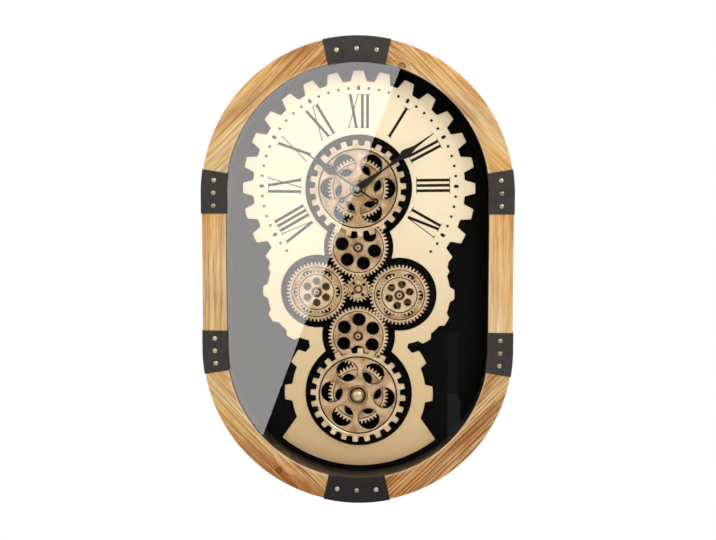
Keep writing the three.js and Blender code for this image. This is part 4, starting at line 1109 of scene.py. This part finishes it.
# Wheels of the gear train
def wheel(node, body, axis, outline, face, hole_phase, hub, plate=None, paints=BRONZES):
    """A toothed wheel whose front steps down from its rim to its web, with round holes and a hub.

    A wheel whose plate is thinner than its hub is given the back and the front of the plate.
    """
    hub_back, hub_front = depth_of(node)
    back, front = plate or (hub_back, hub_front)
    hub_radius, shade_radius, bore = hub
    step_radius, changes, web_tone, (hole_count, hole_ring, hole_radius) = face
    form = Form()
    outline = region([outline])[0]
    foot = form.ring(outline, back)
    lip = form.ring(outline, front - EDGE)
    top = form.ring(inset(outline, EDGE), front)
    form.wall(foot, lip)
    # The bevel along the teeth takes the painted highlight
    form.wall(lip, top, tone=BRIGHT)
    rings = form.steps(axis, [(step_radius + wide, front + up, tone) for wide, up, tone in changes], 96)
    form.cover(top, rings[0], tone=RIM)
    web = front + changes[-1][1]
    edge = min(HOLE_EDGE, hole_radius / 5)
    # Each hole has a painted highlight on its bevel and painted shade on its wall
    hole = [(hole_radius + edge, web, WEB), (hole_radius, web - edge, BRIGHT), (hole_radius, back, DARK)]
    mouths, exits = [], []
    for i in range(hole_count):
        mouth, _, outlet = form.steps(spot(axis, hole_ring, hole_phase + 360 * i / hole_count), hole, 40)
        mouths.append(mouth)
        exits.append(outlet)
    # Inside its shade radius the hub's face is painted dark as the shadow of what sits on it, and so is its
    # bore
    boss = [
        (hub_radius + HOLE_EDGE, web, WEB),
        (hub_radius, web - HOLE_EDGE, WEB),
        (hub_radius, hub_front - EDGE, WEB),
        (hub_radius - EDGE, hub_front, WEB),
        (shade_radius, hub_front, WEB),
        (bore, hub_front - EDGE, DARK),
        (bore, hub_back, DARK),
    ]
    rim_of_boss, *_, bore_back = form.steps(axis, boss, 48)
    form.cover(rings[-1], *mouths, rim_of_boss, tone=web_tone)
    if plate:
        tail, tail_foot = [form.ring(circle(axis, hub_radius, 48), out) for out in (hub_back, back)]
        form.wall(tail, tail_foot)
        form.cover(tail, bore_back)
        form.cover(foot, *exits, tail_foot)
    else:
        form.cover(foot, *exits, bore_back)
    fine(node, form, paints, body)


def mesh_phase(phase, teeth, start, end, other_teeth):
    """The phase at which a gear's teeth fall into the gaps of the one before it."""
    direction = math.degrees(math.atan2(end[0] - start[0], end[1] - start[1]))
    return direction + 180 + 360 / other_teeth * (0.5 - (phase - direction) * teeth / 360)


bottom_phase = 0
lower_phase = mesh_phase(bottom_phase, WHEEL_TEETH, DRIVE, LOWER, WHEEL_TEETH)
right_phase = mesh_phase(lower_phase, WHEEL_TEETH, LOWER, RIGHT, WHEEL_TEETH)
pinion_phase = mesh_phase(right_phase, WHEEL_TEETH, RIGHT, CENTRE, PINION_TEETH)
left_phase = mesh_phase(pinion_phase, PINION_TEETH, CENTRE, LEFT, WHEEL_TEETH)
upper_phase = mesh_phase(pinion_phase, PINION_TEETH, CENTRE, UPPER, WHEEL_TEETH)
top_phase = mesh_phase(upper_phase, WHEEL_TEETH, UPPER, HAND, WHEEL_TEETH)

# Each gear: its body, its axis, the phases of its teeth and holes, its hub and its paints
gears = {
    "upper": ("upper_idler", UPPER, upper_phase, 42, STUD_HUB, BRONZES),
    "lower": ("lower_idler", LOWER, lower_phase, 2, STUD_HUB, BRONZES),
    "left": ("left_pair", LEFT, left_phase, 30, STUD_HUB, COVERED_BRONZES),
    "right": ("right_pair", RIGHT, right_phase, 32, STUD_HUB, COVERED_BRONZES),
    "top": ("top_pair", HAND, top_phase, 18, (8.5, 7, NECK_BORE), BRONZES),
    "bottom": ("bottom_axle", DRIVE, bottom_phase, 25, (8.5, 7, SHAFT_BORE), BRONZES),
}
for name, (body, axis, phase, hole_phase, hub, paints) in gears.items():
    outline = spur_teeth(axis, WHEEL_TEETH, phase, *WHEEL_TOOTH)
    wheel(f"{name}_gear", body, axis, outline, GEAR_FACE, hole_phase, hub, GEAR_PLATE, paints)

outline = spur_teeth(CENTRE, PINION_TEETH, pinion_phase, *PINION_TOOTH)
wheel("centre_pinion", "pinion", CENTRE, outline, PINION_FACE, 52, PINION_HUB, GEAR_PLATE)

for name, axis, hole_phase in (("left", LEFT, 0), ("right", RIGHT, 12)):
    outline = block_teeth(axis, DISC_RING)
    wheel(f"{name}_disc", f"{name}_pair", axis, outline, DISC_FACE, hole_phase, STUD_HUB)

# Each front wheel: its body, its axis, the phases of its teeth and holes, and its hub
front_wheels = {
    "top": ("top_pair", HAND, -3, 30, (9.6, 8.6, NECK_BORE)),
    "bottom": ("bottom_axle", DRIVE, 3.2, 36, (12.5, 11.3, SHAFT_BORE)),
}
for name, (body, axis, phase, hole_phase, hub) in front_wheels.items():
    outline = rounded(block_teeth(axis, FRONT_WHEEL_RING, phase), FRONT_WHEEL_ROUND)
    wheel(f"{name}_wheel", body, axis, outline, FRONT_WHEEL_FACE, hole_phase, hub)


# Studs, nuts and hands
def turned(node, axis, steps, paints, body="case", dome_angle=0):
    """A turned piece in the place of a node, which may end in a dome."""
    ends = depth_of(node)
    profile = [(radius, ends[end] + height, tone) for radius, end, height, tone in steps]
    if dome_angle:
        radius, foot, _ = profile[-1]
        profile += dome(radius, foot, ends[TIP], dome_angle)
    fine(node, Form().lathe(axis, profile), paints, body)


studs = {"upper": UPPER, "lower": LOWER, "left": LEFT, "right": RIGHT, "centre": CENTRE}
for name, axis in studs.items():
    # The studs' tip recesses are painted dark as shade, and the centre stud's recess takes the web's tone
    paints = (BRONZES[WEB], BRONZES[WEB]) if name == "centre" else (STUD_BRASS, BRONZES[DARK])
    turned(f"{name}_stud", axis, STUD_STEPS, paints)
# The cap nut's flange takes the dark tone, as a painted shade round its dome
cap_paints = (BRASS, BRONZES[DARK])
turned("cap_nut", DRIVE, CAP_NUT_STEPS, cap_paints, "bottom_axle", CAP_NUT_DOME)
retainer_loops = region([circle(HAND, RETAINER_RADIUS, 64)], [circle(HAND, NECK_BORE, 64)])
flat("top_retainer", retainer_loops, RETAINER_EDGE, BRONZES[WEB])
turned("hand_nut", HAND, HAND_NUT_STEPS, (STEEL, BRONZES[DARK]), "minute_axle")


def hand(node, body, blade, angle, tail, bore):
    """A spade hand with a round hub and a ringed tail."""
    sides = [(half, along) for along, half in blade] + [(-half, along) for along, half in reversed(blade)]
    tail_end = spot(HAND, -tail, angle)
    adds = [
        rounded(placed(sides, angle, HAND), BLADE_ROUND, 3, 6),
        placed(rectangle((-TAIL_HALF, -tail), (TAIL_HALF, 0)), angle, HAND),
        circle(tail_end, TAIL_RING, 32),
        circle(HAND, HAND_HUB, 48),
    ]
    loops = region(adds, [circle(HAND, bore, 32), circle(tail_end, TAIL_HOLE, 16)])
    flat(node, loops, HAND_EDGE, HAND_BLACK, body)


hand("hour_hand", "hour_axle", *HOUR_HAND)
hand("minute_hand", "minute_axle", *MINUTE_HAND)

# Hanger on the back
middle = sum(HANGER_Z) / 2
low, high = middle - KEYHOLE_HALF, middle + KEYHOLE_HALF
plate = rectangle((HANGER_X[0], HANGER_Z[0]), (HANGER_X[1], HANGER_Z[1]))
keyhole = [
    circle((0, low), KEYHOLE_ENTRY, 48),
    [(-KEYHOLE_SLOT, low), (KEYHOLE_SLOT, low)] + arc((0, high), KEYHOLE_SLOT, 90, -90, 12),
]
screw_holes = [circle((side * HANGER_SCREW_X, middle), HANGER_SCREW_HOLE, 24) for side in (-1, 1)]
loops = region([rounded(plate, HANGER_ROUND)], keyhole + screw_holes)
flat("hanger_plate", loops, HANGER_EDGE, STEEL)

# Cells, which lie along x, each with its jacket, its shoulder and its raised cap
for node in ("clock_cell", "drive_cell_1", "drive_cell_2"):
    (left, right), (low, high), (foot, head) = box_of(node)
    steps = [(share, left + along) for share, along in CELL_FOOT]
    steps += [(share, right + along) for share, along in CELL_CAP]
    form = Form()
    rings = []
    for share, x in steps:
        loop = circle(((low + high) / 2, (foot + head) / 2), (high - low) / 2 * share, 40)
        rings.append(form.add([(x, out, z) for out, z in loop]))
    for i, (first, second) in enumerate(zip(rings, rings[1:])):
        form.wall(first, second, tone=0 if i in JACKET_RINGS else 1)
    for ring in (rings[0], rings[-1]):
        form.face(ring, 1)
    fine(node, form, (JACKET, STEEL))


# Screws in the covers, and tabs that hold the panel in the boards
def screw(name, centre, seat, radius):
    """A round screw head on the back, with a cross recess."""
    form = Form()
    top = seat - SCREW_HEIGHT * radius
    head = [(radius, seat, 0), (radius, seat - SCREW_SIDE * radius, 0), (SCREW_TOP * radius, top, 0)]
    foot, _, rim = form.steps(centre, head, 24)
    x, z = centre
    long, short = [half * radius for half in RECESS_HALVES]
    bars = [(long, short), (short, long)]
    cross = region([rectangle((x - wide, z - high), (x + wide, z + high)) for wide, high in bars])[0]
    mouth, floor = form.ring(cross, top), form.ring(cross, seat - RECESS_FLOOR * radius)
    form.cover(foot)
    form.cover(rim, mouth)
    # The cross recess takes the dark tone, as painted shade
    form.wall(mouth, floor, tone=1)
    form.cover(floor, tone=1)
    piece(name, form, (STEEL, BRONZES[DARK]))


for node in ("movement_cover", "drive_cover"):
    xs, outs, zs = box_of(node)
    for i, x in enumerate((xs[0] + COVER_SCREW_MARGIN, xs[1] - COVER_SCREW_MARGIN)):
        for j, z in enumerate((zs[0] + COVER_SCREW_MARGIN, zs[1] - COVER_SCREW_MARGIN)):
            screw(f"{node}_screw_{2 * i + j + 1}", (x, z), outs[0], COVER_SCREW)

tab_front = depth_of("back_panel")[0] - GAP / 2
tab_end = REBATE + GAP
tab_shape = rectangle((-TAB_HALF, tab_end - TAB_LENGTH), (TAB_HALF, tab_end))
for upward, level in ((1, "upper"), (-1, "lower")):
    for i, angle in enumerate(TAB_ANGLES):
        loop = rounded(placed(tab_shape, 90 - 90 * upward + angle, end_centre(upward)), TAB_ROUND)
        form = Form().plate(region([loop]), (tab_front - TAB, tab_front), TAB_EDGE)
        piece(f"panel_tab_{level}_{i + 1}", form, STEEL)

# The rest of the solids keep their shape and get softened edges and a finish
finishes = {
    "back_panel": (PANEL_BLACK, 0.3),
    "hanger_screw_1": (STEEL, 0.15),
    "hanger_screw_2": (STEEL, 0.15),
    "movement_case": (PLASTIC_BLACK, 0.5),
    "movement_cover": (PLASTIC_BLACK, 0.5),
    "fixing_nut": (BRASS, 0.3),
    "hour_tube": (BRASS, 0.15),
    "minute_arbor": (BRASS, 0.15),
    "minute_wheel": (PLASTIC_WHITE, 0.15),
    "set_knob": (PLASTIC_BLACK, 0.2),
    "drive_case": (PLASTIC_BLACK, 0.5),
    "drive_cover": (PLASTIC_BLACK, 0.5),
    "drive_wheel": (PLASTIC_WHITE, 0.15),
    "drive_shaft": (STEEL, 0.2),
    "motor_pinion": (BRASS, 0.1),
    "drive_motor": (STEEL, 0.3),
    "switch_slider": (PLASTIC_WHITE, 0.2),
}
for node, (paint, width) in finishes.items():
    solid = frame["nodes"][node]
    solid.data.materials.clear()
    solid.data.materials.append(paint)
    bevel = solid.modifiers.new("soft_edges", "BEVEL")
    bevel.width = width * MM
    bevel.segments = 2
    bevel.limit_method = "ANGLE"
    bevel.angle_limit = SOFT_ANGLE
    solid.data.shade_smooth()
    solid.data.set_sharp_from_angle(angle=SMOOTH_ANGLE)

# The panel is bare board on its back
panel = frame["nodes"]["back_panel"].data
panel.materials.append(PANEL_BACK)
for polygon in panel.polygons:
    if polygon.normal.y > 0.9:
        polygon.material_index = 1

# Camera at the photograph's angle
scene = bpy.context.scene
aim = Vector((0, -FRONT_PLANE, MIDDLE)) * MM
level_toward = Vector((math.sin(CAMERA_AZIMUTH), -math.cos(CAMERA_AZIMUTH), 0))
toward = level_toward * math.cos(CAMERA_ELEVATION) + Vector((0, 0, math.sin(CAMERA_ELEVATION)))
camera = bpy.data.objects.new("camera", bpy.data.cameras.new("camera"))
scene.collection.objects.link(camera)
camera.location = aim + toward * CAMERA_DISTANCE * MM
camera.rotation_euler = (-toward).to_track_quat("-Z", "Y").to_euler()
camera.data.sensor_width = SENSOR
camera.data.lens = FOCAL_PIXELS / IMAGE_WIDTH * SENSOR
camera.data.shift_x = SHIFT_PIXELS[0] / IMAGE_WIDTH
camera.data.shift_y = SHIFT_PIXELS[1] / IMAGE_WIDTH
scene.camera = camera
scene.view_settings.view_transform = "Standard"

# Studio: a white surround, soft lamps, and a pale floor far below
world = bpy.data.worlds.new("studio")
scene.world = world
world.use_nodes = True
surround = Nodes(world.node_tree)
level = surround.add("MapRange", {"Value": surround.seen_directly(), "To Min": AMBIENT, "To Max": 1})
backdrop = world.node_tree.nodes["Background"]
backdrop.inputs["Color"].default_value = (1, 1, 1, 1)
surround.feed(backdrop.inputs["Strength"], level.outputs[0])

for i, (place, size, power) in enumerate(LAMPS):
    data = bpy.data.lights.new(f"lamp_{i + 1}", "AREA")
    data.size = size
    data.energy = power
    lamp = bpy.data.objects.new(data.name, data)
    scene.collection.objects.link(lamp)
    lamp.location = place
    lamp.rotation_euler = (aim - lamp.location).to_track_quat("-Z", "Y").to_euler()


def stage_piece(name, corners, paint):
    """A flat stage object."""
    mesh = bpy.data.meshes.new(name)
    mesh.from_pydata(corners, [], [tuple(range(len(corners)))])
    mesh.materials.append(paint.material)
    made = bpy.data.objects.new(name, mesh)
    scene.collection.objects.link(made)
    return made


# The floor is pale to the light, and as white as the surround where it is seen
floor_paint = Paint("floor")
pale = floor_paint.add("BsdfDiffuse", {"Color": (0.8, 0.8, 0.79, 1)})
white = floor_paint.add("Emission", {"Color": (1, 1, 1, 1)})
floor_paint.blend(floor_paint.seen_directly(), pale, white)
floor_corners = rectangle((-REACH, -REACH), (REACH, REACH))
stage_piece("floor", [(x, y, FLOOR) for x, y in floor_corners], floor_paint)


# Cards behind the camera that only the glass mirrors
def mirrored(x, z, y):
    """Where the glass at (x, z) shows the camera a card at y."""
    glass_y = -front_of("glass_pane") * MM
    k = (glass_y - y) / (glass_y - camera.location.y)
    x, z = x * MM, z * MM
    return x + (x - camera.location.x) * k, y, z + (z - camera.location.z) * k


def card(name, corners, y, strength):
    """A card that glows in sharp reflections alone."""
    paint = Paint(name)
    path = paint.add("LightPath").outputs
    first = paint.math("LESS_THAN", path["Ray Depth"], LAST_MIRROR_DEPTH)
    glow = paint.add("Emission", {"Color": GLARE_COLOUR, "Strength": strength})
    paint.blend(paint.times(first, path["Is Singular Ray"]), paint.add("BsdfTransparent"), glow)
    made = stage_piece(name, [mirrored(*corner, y) for corner in corners], paint)
    made.visible_camera = False
    made.visible_diffuse = False
    made.visible_shadow = False


def on_line(z):
    """The point of the slanting line at a height."""
    share = (z - GLARE_FOOT[1]) / (GLARE_TOP[1] - GLARE_FOOT[1])
    return GLARE_FOOT[0] + share * (GLARE_TOP[0] - GLARE_FOOT[0]), z


card_top = MIDDLE + STRAIGHT + CARD_SIDE
card_foot = MIDDLE - STRAIGHT - CARD_SIDE
for name, x, strength in (("glare_card", -CARD_SIDE, GLARE), ("dark_card", CARD_SIDE, 0)):
    card(name, [on_line(card_top), (x, card_top), (x, card_foot), on_line(card_foot)], CARD_Y, strength)
for i, (corners, strength) in enumerate(DIM_SHAPES):
    card(f"dim_card_{i + 1}", corners, DIM_CARD_Y, strength)
